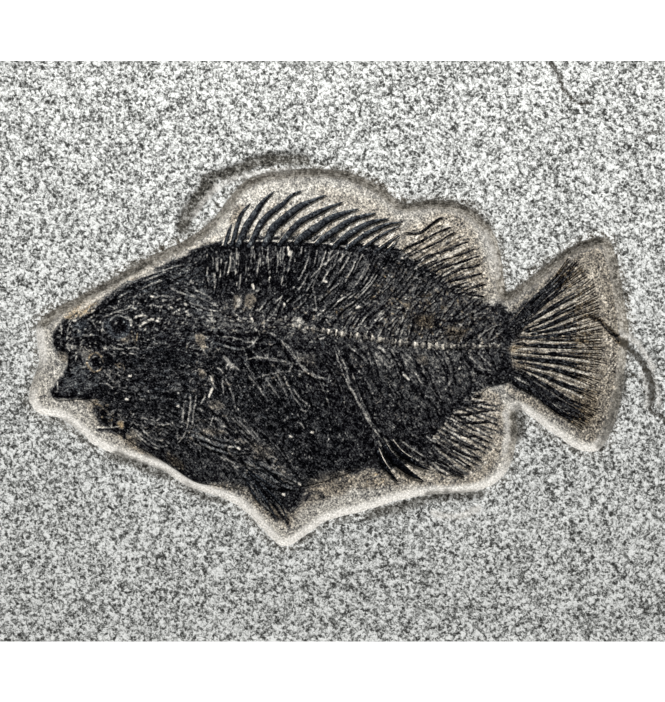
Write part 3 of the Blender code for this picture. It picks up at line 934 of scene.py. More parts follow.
@dataclass(frozen=True)
class Fossil:
    """Dark fossil bone with paler matrix between the bones, or a fin's matrix with bone in it.

    Attributes:
        name: the material's name.
        grain: width of the stipple in millimetres.
        contrast: strength of the stipple.
        stringy: how much of the stipple is drawn out into fibres.
    """

    name: str
    grain: float = 0.44
    contrast: float = 1.9
    stringy: float = 0.34

    def build(self) -> bpy.types.Material:
        """Make the material.

        Returns:
            The material.
        """
        book = NodeBook(self.name)
        where = book.coords()
        grain = book.noise(where, self.grain, 2.0, 0.6, 0.4)
        coarse = book.noise(where, self.grain * 3.1, 2.0, 0.5)
        lean = book.attribute("lean")
        fibre = (self.fibres(book, -50) * book.spread(lean, 0.3, 0.2)
                 + self.fibres(book, -12) * book.band(lean, 0.2, 0.3, 0.7, 0.8)
                 + self.fibres(book, 56) * book.spread(lean, 0.7, 0.8))
        stipple = grain * (1 - self.stringy) + fibre * self.stringy
        color, value = buried_color(book, where, book.attribute("tone"), stipple, coarse, self.contrast)
        roughness = book.spread(value, 0.1, 0.6, 0.45, 0.9)
        return book.finish(color, roughness, book.bump(stipple + coarse * 0.5, 0.3, 1.0), 0.01)

    def fibres(self, book: NodeBook, angle: float) -> Socket:
        """Noise drawn out along a direction, in degrees from the fish's length.

        Args:
            book: the material's nodes.
            angle: the direction.

        Returns:
            The noise.
        """
        where = book.add("ShaderNodeTexCoord", {}, {}, "Object")
        where = book.add("ShaderNodeMapping", {"vector_type": "TEXTURE"},
                         {"Vector": where, "Rotation": (0, 0, math.radians(angle)), "Scale": (4.0, 1.0, 1.0)})
        return book.noise(where, self.grain * 0.95, 2.0, 0.6, 0.6)


# Meshes

SHARP_ANGLE = math.radians(55)


def vertex_array(mesh: bpy.types.Mesh) -> Array:
    """The mesh's vertices in millimetres.

    Args:
        mesh: the mesh.

    Returns:
        One row of x, y and z for each vertex.
    """
    flat = np.empty(len(mesh.vertices) * 3)
    mesh.vertices.foreach_get("co", flat)
    return flat.reshape(-1, 3) / MM


def set_layers(mesh: bpy.types.Mesh, layers: dict[str, Array]) -> None:
    """Store floats on the vertices by name.

    Args:
        mesh: the mesh.
        layers: the floats by layer name.
    """
    for name, values in layers.items():
        layer = mesh.attributes.new(name, "FLOAT", "POINT")
        layer.data.foreach_set("value", np.ascontiguousarray(values, dtype=np.float32))


def put(name: str, mesh: bpy.types.Mesh, material: bpy.types.Material,
        replaced: tuple[str, ...]) -> None:
    """Place a finished mesh in the scene.

    Args:
        name: the piece's name.
        mesh: its mesh, in place.
        material: its finish.
        replaced: the solids that it stands for.
    """
    mesh.materials.clear()
    mesh.materials.append(material)
    mesh.shade_smooth()
    mesh.set_sharp_from_angle(angle=SHARP_ANGLE)
    piece = bpy.data.objects.new(name, mesh)
    bpy.context.scene.collection.objects.link(piece)
    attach(piece, ROOT)
    if replaced:
        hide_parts(*replaced)
    log.info("%s: %d faces", name, len(mesh.polygons))


def close_below(shape: bmesh.types.BMesh, levels: tuple[float, ...]) -> None:
    """Extrude the open edge of a sheet down to each level and fill the underside.

    Args:
        shape: the sheet.
        levels: heights of the steps on the way down.
    """
    edges = [edge for edge in shape.edges if edge.is_boundary]
    for level in levels:
        grown = bmesh.ops.extrude_edge_only(shape, edges=edges)["geom"]
        edges = [item for item in grown if isinstance(item, bmesh.types.BMEdge)]
        for vertex in (item for item in grown if isinstance(item, bmesh.types.BMVert)):
            vertex.co.z = level * MM
    bmesh.ops.triangle_fill(shape, edges=edges, use_beauty=False, use_dissolve=False)
    bmesh.ops.recalc_face_normals(shape, faces=shape.faces)


def grid_lines(stops: list[tuple[float, float]]) -> Array:
    """Grid line places from (end, pitch) stops; the first stop is the start.

    Args:
        stops: the stops.

    Returns:
        The places of the lines.
    """
    places = [stops[0][0]]
    for end, pitch in stops[1:]:
        count = max(1, int(round((end - places[-1]) / pitch)))
        places.extend(np.linspace(places[-1], end, count + 1)[1:])
    return np.array(places)


@dataclass
class Slab:
    """The limestone block with the worked hollow, the scoops and the cracks.

    Attributes:
        finish: the block's material.
        canvas: the colours of the fish's surroundings.
        wall_below: run of the hollow's wall on the belly side.
        wall_above: run of the wall on the back side.
        scoops: outlines and depths of the places where stone was scooped off.
        shade_smear_lines: lines, half widths and strengths of the dark bands: painted shade along walls that
            face away from the lamp, at the scoops' shaded edges and beside the tail's right wall, and darker
            smears outside the lower rim.
        lamp_highlight_lines: the same for the painted highlights on the crack's lit lip, the lower scoop's
            lit edge and walls that face the lamp.
        cracks: lines, half widths and depths of the cracks.
        chipping: how far the rim strays from its line.
        snap: distance within which a point of the grid moves onto the rim.
        uneven: distance within which a point is too near the rim to tell the wall's direction.
        light: the side that the finish takes the light from.
        rim: the hollow's rim.
    """

    finish: bpy.types.Material
    canvas: Canvas
    wall_below: float = 2.2
    wall_above: float = 3.2
    scoops: tuple = (
        ([(-42,33.7), (-39.4,39), (-36.2,43.7), (-31.4,48), (-24.5,50.6), (-18.7,52.5), (-11.3,53.3),
            (-6,51.4), (-8.6,49.6), (-16.6,49.3), (-22.4,48), (-27.7,45.3), (-31.9,42.1), (-35.1,38.4),
            (-37.8,34.2)], 0.8),
        ([(25.3,-38.7), (25.8,-42.1), (29.8,-44.5), (35.1,-44), (39.1,-40.8), (40.7,-38.4), (36.4,-38.7),
            (31.1,-38.4)], 0.6),
    )
    shade_smear_lines: tuple = (
        ([(-39.4,32.9), (-38.3,36), (-36.7,39), (-34.6,41.6), (-31.9,44.3)], 2.4, 1.0),
        ([(-33.5,44.8), (-30.9,46.6), (-27.2,47.4), (-23.5,49), (-20.3,50.4), (-15.2,50.9), (-7.6,50.6)],
            2.1, 1.0), ([(-8.6,48.2), (-2.8,47.4), (3.3,46.6), (8.9,44), (14.7,40.8)], 0.8, 0.3),
        ([(19.2,39), (24.5,39.5), (31.1,39.5), (36.4,38.2), (40.7,34.2)], 1.2, 0.5),
        ([(-61.6,16.7), (-53.7,20.4), (-51,22), (-48.4,23.3)], 0.7, 0.7),
        ([(-57.4,-27.8), (-53.4,-29.2), (-49.7,-30.7)], 1.5, 0.85),
        ([(-48.4,-31.3), (-44.1,-33.1)], 1.5, 0.8), ([(-39.4,-35.8), (-35.1,-37.9), (-29.3,-40)], 1.2, 0.5),
        ([(9.4,-43.7), (15.2,-42.1), (23.2,-40)], 1.6, 0.8),
        ([(25.8,-38.4), (31.1,-38.2), (39.1,-37.9)], 1.4, 0.75),
        ([(48.9,-15.6), (49.4,-18.8), (49.2,-22.5)], 2.0, 0.75),
        ([(77.2,-6.1), (76.7,-9.5), (75.7,-13.5), (73.5,-20.1), (70.9,-24.9)], 1.3, 0.75),
        ([(74.6,23.6), (75.1,18.8), (77,14.3)], 1.2, 0.6),
        ([(-72.2,-18.3), (-69.3,-19.9), (-66.6,-23.1)], 1.0, 0.5),
        ([(55.5,22.8), (60.8,25.7), (66.1,27.8), (70.9,29.2)], 1.0, 0.6),
    )
    lamp_highlight_lines: tuple = (
        ([(76.7,5), (78.8,3.7), (81.5,1.1), (83.6,-1.9), (84.9,-4.5)], 0.9, 0.8),
        ([(81.8,-5.6), (83.1,-8.7), (83.6,-12.5), (83.1,-15.1)], 0.6, 0.6),
        ([(84.9,-5.6), (86.3,-10.3), (86.5,-14.3)], 0.6, 0.5),
        ([(26.4,-42.7), (29.8,-43.7), (34.3,-43.7), (38.6,-41.6)], 1.0, 0.7),
        ([(-36.2,36.3), (-34.1,40), (-31.4,42.7), (-26.6,45.3), (-19.2,47.4), (-11.3,48)], 0.9, 0.5),
        ([(40.7,31.5), (42.8,26.2), (44.1,20.1)], 0.8, 0.6),
        ([(46,-16.2), (46.5,-20.9), (45.7,-27.6)], 0.8, 0.6),
    )
    cracks: tuple = (
        ([(66.4,9.8), (68.8,9), (70.9,8), (73.5,5.6), (75.7,3.4), (78,1.3), (80.7,-1.3), (82.5,-4),
            (83.9,-6.6), (84.7,-9.8), (84.7,-13), (84.1,-15.6)], 0.95, 0.5),
        ([(83.6,-15.4), (85.7,-16.7), (88.1,-18), (90.8,-19.3)], 0.6, 0.4),
        ([(79.4,-6.1), (80.7,-6.9)], 0.5, 0.3), ([(80.7,-6.9), (81.8,-9), (82.8,-11.4)], 0.25, 0.25),
        ([(56.6,77.1), (58.7,75.3), (60,72.6), (61.1,69.4), (62.9,67.8), (64,66.2), (65.9,65.5), (68.5,66)],
            0.62, 0.45), ([(80.7,56.4), (82.5,57), (85.2,57.8), (88.1,58.8)], 0.4, 0.25),
    )
    chipping: float = 0.22
    snap: float = 0.24
    uneven: float = 1.2
    light: tuple[float, float] = (0.35, 0.94)
    rim: Array = field(default_factory=lambda: smooth(RIM, 0.5, closed=True))

    def __post_init__(self) -> None:
        """Chip the rim."""
        x, y = self.rim.T
        stray = np.column_stack([Grain(31, 1.6, 2)(x, y), Grain(32, 1.6, 2)(x, y)])
        self.rim = self.rim + self.chipping * stray

    def build(self) -> None:
        """Model the block and place it."""
        low, high = (np.array(corner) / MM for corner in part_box("slab"))
        # Finer around the fish: where each stretch of the grid ends, and its pitch
        xs = grid_lines([(low[0], 0), (-82.0, 0.8), (82.0, 0.53), (high[0], 0.62)])
        ys = grid_lines([(low[1], 0), (-54.0, 0.85), (51.0, 0.46), (high[1], 0.8)])
        shape = bmesh.new()
        bmesh.ops.create_grid(shape, x_segments=len(xs) - 1, y_segments=len(ys) - 1, size=0.5)
        mesh = bpy.data.meshes.new("slab_stone")
        shape.to_mesh(mesh)
        spots = vertex_array(mesh) * MM
        x = xs[np.rint((spots[:, 0] + 0.5) * (len(xs) - 1)).astype(int)]
        y = ys[np.rint((spots[:, 1] + 0.5) * (len(ys) - 1)).astype(int)]
        x, y, z, layers = self.sculpt(x, y, low, high)
        mesh.vertices.foreach_set("co", (np.column_stack([x, y, z]) * MM).ravel())
        set_layers(mesh, layers)
        shape.clear()
        shape.from_mesh(mesh)
        close_below(shape, (FACE - 1.0, 0.0))
        shape.to_mesh(mesh)
        shape.free()
        put("slab_stone", mesh, self.finish, ("slab",))

    @staticmethod
    def smears(lines: tuple, x: Array, y: Array, stray: Array, rim: tuple) -> Array:
        """How strongly a set of drawn bands covers each point; the bands carry painted shade, painted
        highlights and darker smears.

        Args:
            lines: line, half width and strength of each band.
            x, y: the points.
            stray: how far the edge strays at each point.
            rim: shares of the half width where a smear starts to fade and where it ends.

        Returns:
            The strength at each point.
        """
        cover = np.zeros(x.shape)
        for line, width, strength in lines:
            reach = nearest(smooth(line, 1.2), x, y)[0] + stray
            cover = np.maximum(cover, strength * (1 - ease(reach, width * rim[0], width * rim[1])))
        return cover

    def sculpt(self, x: Array, y: Array, low: Array, high: Array) -> tuple:
        """Shape the face.

        Args:
            x, y: the grid's points.
            low, high: the block's corners.

        Returns:
            The moved x and y, the heights and the layers of the finish.
        """
        away, _, near_x, near_y = nearest(self.rim, x, y, closed=True)
        snap = away < self.snap
        within = inside(self.rim, x, y) | snap
        x, y = np.where(snap, near_x, x), np.where(snap, near_y, y)
        away = np.where(snap, 0.0, away)
        depth = np.where(within, away, -away)
        # How far each wall faces the lamp's side; the finish paints light and shade from this.
        facing = (x - near_x) * self.light[0] + (y - near_y) * self.light[1]
        facing = np.where(away > 0.05, facing / np.maximum(away, 0.05), 0.0) * np.where(within, 1, -1)
        facing = self.even(facing, x, y, away)
        run = self.wall_below + (self.wall_above - self.wall_below) * ease(-facing, -0.3, 0.6)
        fall = 1 - (1 - np.clip(depth / run, 0, 1)) ** (2.3 - 0.5 * ease(-facing, -0.3, 0.6))
        edge = np.minimum.reduce([x - low[0], high[0] - x, y - low[1], high[1] - y])
        rough = Grain(3, 1.3, 2)(x, y) * 0.09 + Grain(5, 5.0, 2)(x, y) * 0.12 + 0.22
        z = FACE - rough * ease(edge, 0.0, 1.5) * (1 - fall) - (FACE - FLOOR) * fall
        z += fall * Grain(7, 2.2, 3)(x, y) * 0.14
        for loop, drop in self.scoops:
            reach = depth_in(smooth(loop, 1.0, closed=True), x, y)
            z -= drop * ease(reach, -0.4, 1.6) * (1 - fall)
        # Drawn bands: painted shade with darker smears, then painted highlights.
        stain = self.smears(self.shade_smear_lines, x, y, 0.7 * Grain(21, 1.6, 2)(x, y), (0.55, 1.15))
        bleach = self.smears(self.lamp_highlight_lines, x, y, 0.5 * Grain(23, 1.3, 2)(x, y), (0.4, 1.2))
        crack = np.full(x.shape, 3.0)
        stray = 0.18 * Grain(22, 2.0, 2)(x, y)
        for line, width, drop in self.cracks:
            reach, place, _, _ = nearest(smooth(line, 1.0), x, y)
            reach = reach + stray
            narrow = width * np.clip(6 * np.minimum(place, 1 - place) + 0.5, 0, 1)
            z -= drop * (1 - ease(reach, narrow * 0.3, narrow * 1.3)) * (1 - 0.6 * fall)
            crack = np.minimum(crack, reach - narrow + 0.35)
        layers = {"depth": depth, "facing": facing, "stain": stain, "bleach": bleach, "crack": crack}
        return x, y, np.minimum(z, FACE), layers | self.canvas.colors(x, y)

    def even(self, facing: Array, x: Array, y: Array, away: Array) -> Array:
        """Take the wall's direction from the rim itself where a point is too near it to tell.

        Args:
            facing: the direction so far.
            x, y: the grid's points.
            away: their distance from the rim.

        Returns:
            The direction with its band by the rim replaced.
        """
        after = np.roll(self.rim, -2, axis=0) - np.roll(self.rim, 2, axis=0)
        around = sum(a[0] * b[1] - b[0] * a[1] for a, b in zip(self.rim, np.roll(self.rim, -1, axis=0)))
        normal = (after[:, 0] * self.light[1] - after[:, 1] * self.light[0]) / np.hypot(*after.T)
        normal *= math.copysign(1.0, around)
        close = away < self.uneven
        spots = np.column_stack([x[close], y[close]])
        nearest_spot = np.array([np.argmin(((self.rim - spot) ** 2).sum(axis=1)) for spot in spots])
        facing = facing.copy()
        facing[close] = normal[nearest_spot]
        return facing


@dataclass
class Plate:
    """One plate of the fish: a sheet cut to its outline, with the drawn relief on top.

    Attributes:
        name: the piece's name.
        node: the solid that it stands for.
        seams: edges that it shares with other plates.
        free: edges that end in the stone.
        top: height of its surface before the relief.
        brink: height of its surface at a free edge.
        run: how far the surface takes to come up from a free edge.
        pitch: spacing of its grid.
    """

    name: str
    node: str
    seams: list[Points]
    free: list[Points]
    top: float
    brink: float
    run: float = 2.2
    pitch: float = 0.22

    def build(self, canvas: Canvas, finish: bpy.types.Material, slot: str) -> None:
        """Cut the sheet, raise its relief and place it.

        Args:
            canvas: what is drawn on the fish.
            finish: the material.
            slot: the material's slot; not used.
        """
        loop = chain(self.seams + self.free, 0.7)
        low, high = loop.min(axis=0) - self.pitch, loop.max(axis=0) + self.pitch
        size = high - low
        columns, rows = (int(round(length / self.pitch)) for length in size)
        middle = (low + high) / 2
        shape = bmesh.new()
        bmesh.ops.create_grid(
            shape, x_segments=columns, y_segments=rows, size=0.5,
            matrix=Matrix.Translation((*middle * MM, 0)) @ Matrix.Diagonal((*size * MM, 1, 1)))
        centres = np.array([face.calc_center_median()[:2] for face in shape.faces]) / MM
        keep = inside(loop, centres[:, 0], centres[:, 1])
        bmesh.ops.delete(shape, geom=[f for f, kept in zip(shape.faces, keep) if not kept], context="FACES")
        self.drop_crumbs(shape)
        brim = [vertex for vertex in shape.verts if vertex.is_boundary]
        spots = np.array([vertex.co[:2] for vertex in brim]) / MM
        _, _, near_x, near_y = nearest(loop, spots[:, 0], spots[:, 1], closed=True)
        for vertex, px, py in zip(brim, near_x, near_y):
            vertex.co.x, vertex.co.y = px * MM, py * MM
        mesh = bpy.data.meshes.new(self.name)
        shape.to_mesh(mesh)
        self.raise_relief(mesh, canvas)
        shape.clear()
        shape.from_mesh(mesh)
        close_below(shape, (UNDER,))
        shape.to_mesh(mesh)
        shape.free()
        put(self.name, mesh, finish, (self.node,))

    @staticmethod
    def drop_crumbs(shape: bmesh.types.BMesh) -> None:
        """Remove faces that hang on by a corner, so that the edge is one clean loop.

        Args:
            shape: the sheet.
        """
        while True:
            pinched = [v for v in shape.verts if sum(e.is_boundary for e in v.link_edges) > 2]
            lone = [f for f in shape.faces if sum(e.is_boundary for e in f.edges) > 2]
            faces = set(lone) | {min(v.link_faces, key=lambda f: f.index) for v in pinched if v.link_faces}
            if not faces:
                return
            bmesh.ops.delete(shape, geom=list(faces), context="FACES")

    def raise_relief(self, mesh: bpy.types.Mesh, canvas: Canvas) -> None:
        """Give the sheet its heights and its colours.

        Args:
            mesh: the sheet's mesh.
            canvas: what is drawn on the fish.
        """
        spots = vertex_array(mesh)
        x, y = spots[:, 0], spots[:, 1]
        edge = np.full(x.shape, np.inf)
        for line in self.free:
            edge = np.minimum(edge, nearest(smooth(line, 0.8), x, y)[0])
        relief = np.clip(canvas.sample(canvas.height, x, y), -0.5, 0.75)
        rise = ease(edge, -0.3, self.run)
        spots[:, 2] = self.brink + (self.top - self.brink) * rise + relief * (0.25 + 0.75 * rise)
        mesh.vertices.foreach_set("co", (spots * MM).ravel())
        set_layers(mesh, canvas.colors(x, y))


@dataclass(frozen=True)
class Bone:
    """One slender bone.

    Attributes:
        line: its course.
        radii: half widths from its start to its end.
        level: height of its middle line.
        flat: height of its section over its width.
        sheen: how light its lit flank is.
        dark: how light its other flank is, which is painted shade.
        warm: how brown it is.
        blue: how blue its lit flank is.
        fade: the share of its length over which its joints come up to full lightness.
    """

    line: Points
    radii: tuple[float, ...]
    level: float
    flat: float
    sheen: float
    dark: float
    warm: float = 0.0
    blue: float = 0.7
    fade: float = 0.0


class BoneSet:
    """Slender bones gathered into one piece."""

    def __init__(self, sides: int, rough: float) -> None:
        """Start with no bones, each to have so many sides and so rough an outline.

        Args:
            sides: how many sides a bone has.
            rough: how much its outline varies.
        """
        self.sides = sides
        self.rough = rough
        self.shape = bmesh.new()
        self.layers = {name: self.shape.verts.layers.float.new(name)
                       for name in ("tone", "warm", "blue")}
        self.draw = np.random.default_rng(41)

    def add(self, bone: Bone, step: float = 0.9, segments: int = 0) -> None:
        """Roll a grid into a tapering bar along the bone's course, with its ends drawn shut.

        Args:
            bone: the bone.
            step: spacing of its sections.
            segments: how many darker joints cross it.
        """
        line = smooth(bone.line, step)
        count = len(line)
        along = np.linspace(0, 1, count)
        radius = np.interp(along, np.linspace(0, 1, len(bone.radii)), bone.radii)
        radius = radius * (1 + self.rough * sway(self.draw, count))
        radius[0] = radius[-1] = 0.0
        run = np.gradient(line, axis=0)
        run /= np.maximum(np.hypot(*run.T), 1e-9)[:, None]
        level = bone.level + self.rough * 0.5 * sway(self.draw, count)
        shade = 1 + self.rough * 3.0 * sway(self.draw, count)
        verts = bmesh.ops.create_grid(self.shape, x_segments=self.sides, y_segments=count - 1,
                                      size=0.5)["verts"]
        for vertex in verts:
            turn = 2 * math.pi * (vertex.co.x + 0.5)
            row = int(round((vertex.co.y + 0.5) * (count - 1)))
            side, up = math.cos(turn) * radius[row], math.sin(turn) * radius[row] * bone.flat
            across = np.array([-run[row][1], run[row][0]])
            spot = line[row] + across * side
            # Painted light and shade across the bar: the flank towards the lamp and the top are lighter and
            # bluer, and the other flank is darker.
            lit = 0.5 + 0.5 * (across[1] * math.cos(turn) * 0.75 + math.sin(turn) * 0.6)
            joint = segments and math.cos(2 * math.pi * segments * along[row]) > 0.55
            tone = bone.dark + (bone.sheen - bone.dark) * lit + (0.2 if joint else 0)
            shown = min(1.0, 0.35 + along[row] / max(bone.fade, 1e-6))
            vertex[self.layers["tone"]] = tone * shade[row] * shown
            vertex[self.layers["warm"]] = bone.warm
            vertex[self.layers["blue"]] = bone.blue * (0.4 + 0.6 * lit)
            vertex.co = Vector((spot[0], spot[1], level[row] + up)) * MM
        bmesh.ops.remove_doubles(self.shape, verts=verts, dist=1e-7)

    def build(self, name: str, finish: bpy.types.Material, replaced: tuple[str, ...] = ()) -> None:
        """Place the bones as one piece.

        Args:
            name: the piece's name.
            finish: the material.
            replaced: the solids that it stands for.
        """
        bmesh.ops.recalc_face_normals(self.shape, faces=self.shape.faces)
        mesh = bpy.data.meshes.new(name)
        self.shape.to_mesh(mesh)
        self.shape.free()
        put(name, mesh, finish, replaced)


# What is drawn on each part of the fish

@dataclass
class Ground:
    """The dark of the whole fish, and the matrix around it and in its fins."""

    marks: tuple = (
        Patch(PALE, [(-31.1,29.9), (-27.2,38.7), (-19.2,44), (-3.3,44.8), (12.6,40), (19.2,33.4),
            (17.9,27.3), (4.6,28.6)], 3.0, 0.95),
        Patch(SOIL, [(-3.8,43.7), (4.6,42.1), (13.9,38.4), (18.4,33.7), (12.6,33.7), (4.6,38.4),
            (-2.8,40.5)], 2.5, 0.28),
        Patch(TAN, [(17.9,26.8), (18.4,31.5), (23.2,34.2), (27.4,36.8), (31.1,37.1), (35.9,34.2),
            (39.1,27.8), (41.2,20.9), (41.7,14), (38.6,13), (32.5,16.7), (25.8,20.9)], 3.0, 0.9, 0.05),
        Patch(TAN, [(38.6,-8.7), (43.9,-11.4), (45.7,-16.2), (45.4,-23.6), (43.9,-29.4), (39.1,-34.2),
            (32.5,-35.8), (25.8,-35.8), (17.4,-35.8), (7.3,-36.6), (3.6,-32.6), (10.5,-29.4), (17.9,-30.2),
            (28.5,-19.6), (34.3,-14)], 2.0, 0.95, 0.05),
        Patch(OLIVE, [(4.6,-31.5), (10.5,-29.4), (17.9,-32.1), (24.5,-32.6), (17.9,-35.8), (6,-35.8)], 2.0,
            0.7),
        Patch(OLIVE, [(62.9,26.8), (70.9,29.4), (73.5,23.6), (75.7,13.5), (76.7,0.3), (75.1,-13),
            (71.4,-22.5), (67.2,-23.6), (60.3,-18.8), (52.3,-14.3), (45.7,-9), (45.7,6.9), (49.7,14)], 2.0,
            0.8),
        Patch(PALE, [(45.7,6.1), (52.3,13), (60.3,18.8), (68.2,18.8), (71.4,10.9), (72.2,1.6), (70.9,-7.7),
            (66.9,-16.2), (60.3,-14), (51,-8.7), (45.7,-5.6)], 3.0, 0.4),
        Patch(TAN, [(68.8,23.6), (73.5,13.5), (74.1,1.6), (72.5,-10.3), (68.2,-19.6), (67.2,-13), (69.8,0.3),
            (68.2,13.5)], 3.0, 0.6),
        Patch(SOIL, [(-33.8,-34.2), (-24.5,-34.7), (-18.7,-40.8), (-11.3,-46.9), (-8.6,-42.1), (2,-37.4),
            (5.2,-33.7), (-3.3,-31.5), (-21.9,-31.5)], 2.5, 0.55),
        Patch(OCHRE, [(-71.7,8.7), (-67.4,12.7), (-62.9,14), (-63.7,10.3), (-68.5,8.7)], 1.5, 0.8),
        Patch(OCHRE, [(-63.7,-13), (-59,-13.5), (-60,-16.2), (-63.2,-15.1)], 1.2, 0.7),
        Patch(SOIL, [(-69.6,-13), (-65.3,-14), (-61.6,-20.4), (-55,-23.6), (-51,-25.2), (-53.7,-19.6),
            (-60.3,-14.3)], 2.5, 0.6),
        Patch(SOIL, [(-27.7,34.7), (-26.1,38.4), (-24,38.7), (-24.5,35.8), (-26.6,33.1)], 1.6, 0.6),
        Patch(OLIVE, [(42.3,20.1), (49.7,16.2), (47,12.2), (43.9,13)], 2.0, 0.6),
        Lines(CREAM, 0.8, 0.7, 0.0, [[(-67.4,11.1), (-63.7,13.8), (-58.4,17.5), (-53.1,20.1), (-48.4,22)]],
            0.8),
        Lines(SOIL, 1.3, 1.3, 0.0, [[(-56.8,-22), (-52.1,-25.2), (-46.2,-29.2), (-39.9,-33.7), (-33.8,-36),
            (-24.5,-36.3), (-18.7,-41.1), (-11.8,-45.8)]], 0.75),
        Comb([(-27.7,28.9), (-8.6,28.9), (17.9,27.3)], [(-24.5,33.1), (-3.8,34.2), (18.9,33.1)], 34, 0.16,
            (DUN, PALE), 0.05, 1.2, 0.4, 307, 0.1),
        Comb([(-25,29.9), (-8.6,29.4), (12.1,27.8)], [(-16,40.5), (-0.7,40.5), (17.9,33.7)], 34, 0.13, (DUN,
            CREAM), -0.06, 0.6, 0.5, 308, 0.08),
        Thatch([(-72.2,9.3), (-61.6,16.2), (-48.4,23.1), (-35.1,29.4), (-28.2,30.5), (-37.8,26),
            (-48.4,20.1), (-61.6,12.7)], 28, 12, 160, 1.6, 0.14, (CREAM, SOIL, PALE, GREY), 304, 0.1),
        Patch(BONE, [(-74.1,1.6), (-74.3,4.2), (-73,6.9), (-71.2,8.7), (-68.5,8.2), (-64.3,10.1),
            (-61.6,12.7), (-58.4,15.6), (-55,17.8), (-51,19.1), (-48.4,20.1), (-45.7,22.5), (-43.1,24.1),
            (-39.6,24.6), (-37.8,26.8), (-33.8,27.8), (-30.3,29.4), (-25.8,30.2), (-19.2,30.5), (-12.6,30.2),
            (-6,30.5), (2,30.2), (6.8,28.6), (12.1,27.6), (17.9,26.5), (23.2,23.6), (28.5,20.7), (31.1,17.5),
            (36.4,14.3), (41.7,12.2), (44.9,12.5), (47.8,10.3), (52.3,13.5), (50.2,5.6), (47.6,1.6),
            (48.1,-5.6), (51,-9.8), (47,-8.5), (44.4,-9), (41.2,-9.8), (38.6,-11.1), (36.4,-13.5),
            (33.3,-15.6), (31.1,-17.8), (28.5,-20.9), (26.9,-24.9), (24.5,-28.4), (17.9,-30.5), (13.9,-32.1),
            (10.5,-31), (5.7,-32.6), (3.3,-35.2), (-2,-34.7), (-6,-36.3), (-8.6,-40.8), (-11.3,-42.7),
            (-13.9,-41.1), (-18.7,-40), (-21.9,-37.1), (-25.8,-35.2), (-29.8,-34.7), (-33.8,-35.8),
            (-37,-35.2), (-40.1,-33.4), (-42.8,-31), (-46.2,-28.6), (-50,-26.5), (-52.1,-24.1), (-54.7,-22),
            (-57.6,-21.7), (-60.6,-20.4), (-62.7,-17.8), (-63.5,-15.4), (-61.6,-13), (-68.2,-12.7),
            (-73.5,-12.5), (-74.9,-10.9), (-72.7,-8.2), (-71.2,-5), (-70.6,-1.9), (-73.3,-0.3)], 1.3),
        Thatch([(68.2,23.6), (74.1,21.5), (76.2,5.6), (74.6,-13), (69.6,-22.5), (66.9,-19.6), (70.9,-7.7),
            (71.9,5.6)], 80, 30, 220, 2.0, 0.14, (CREAM, SOIL, TAN, OLIVE), 303, 0.1),
        Thatch([(5.2,-31.5), (17.9,-32.6), (17.9,-35.8), (6.2,-36.3), (-6,-38.4), (-8.6,-39.5),
            (-5.4,-35.8)], 10, 60, 120, 0.9, 0.16, (CREAM, SOIL, BLACK, OCHRE), 305, 0.1),
        Thatch([(-33.8,-35.2), (-24.5,-35.8), (-18.7,-41.6), (-11.8,-46.9), (-15,-45.3), (-21.9,-39.5),
            (-28.5,-36.8)], 35, 50, 170, 0.8, 0.16, (CREAM, SOIL, BLACK, GREY), 306, 0.1),
    )


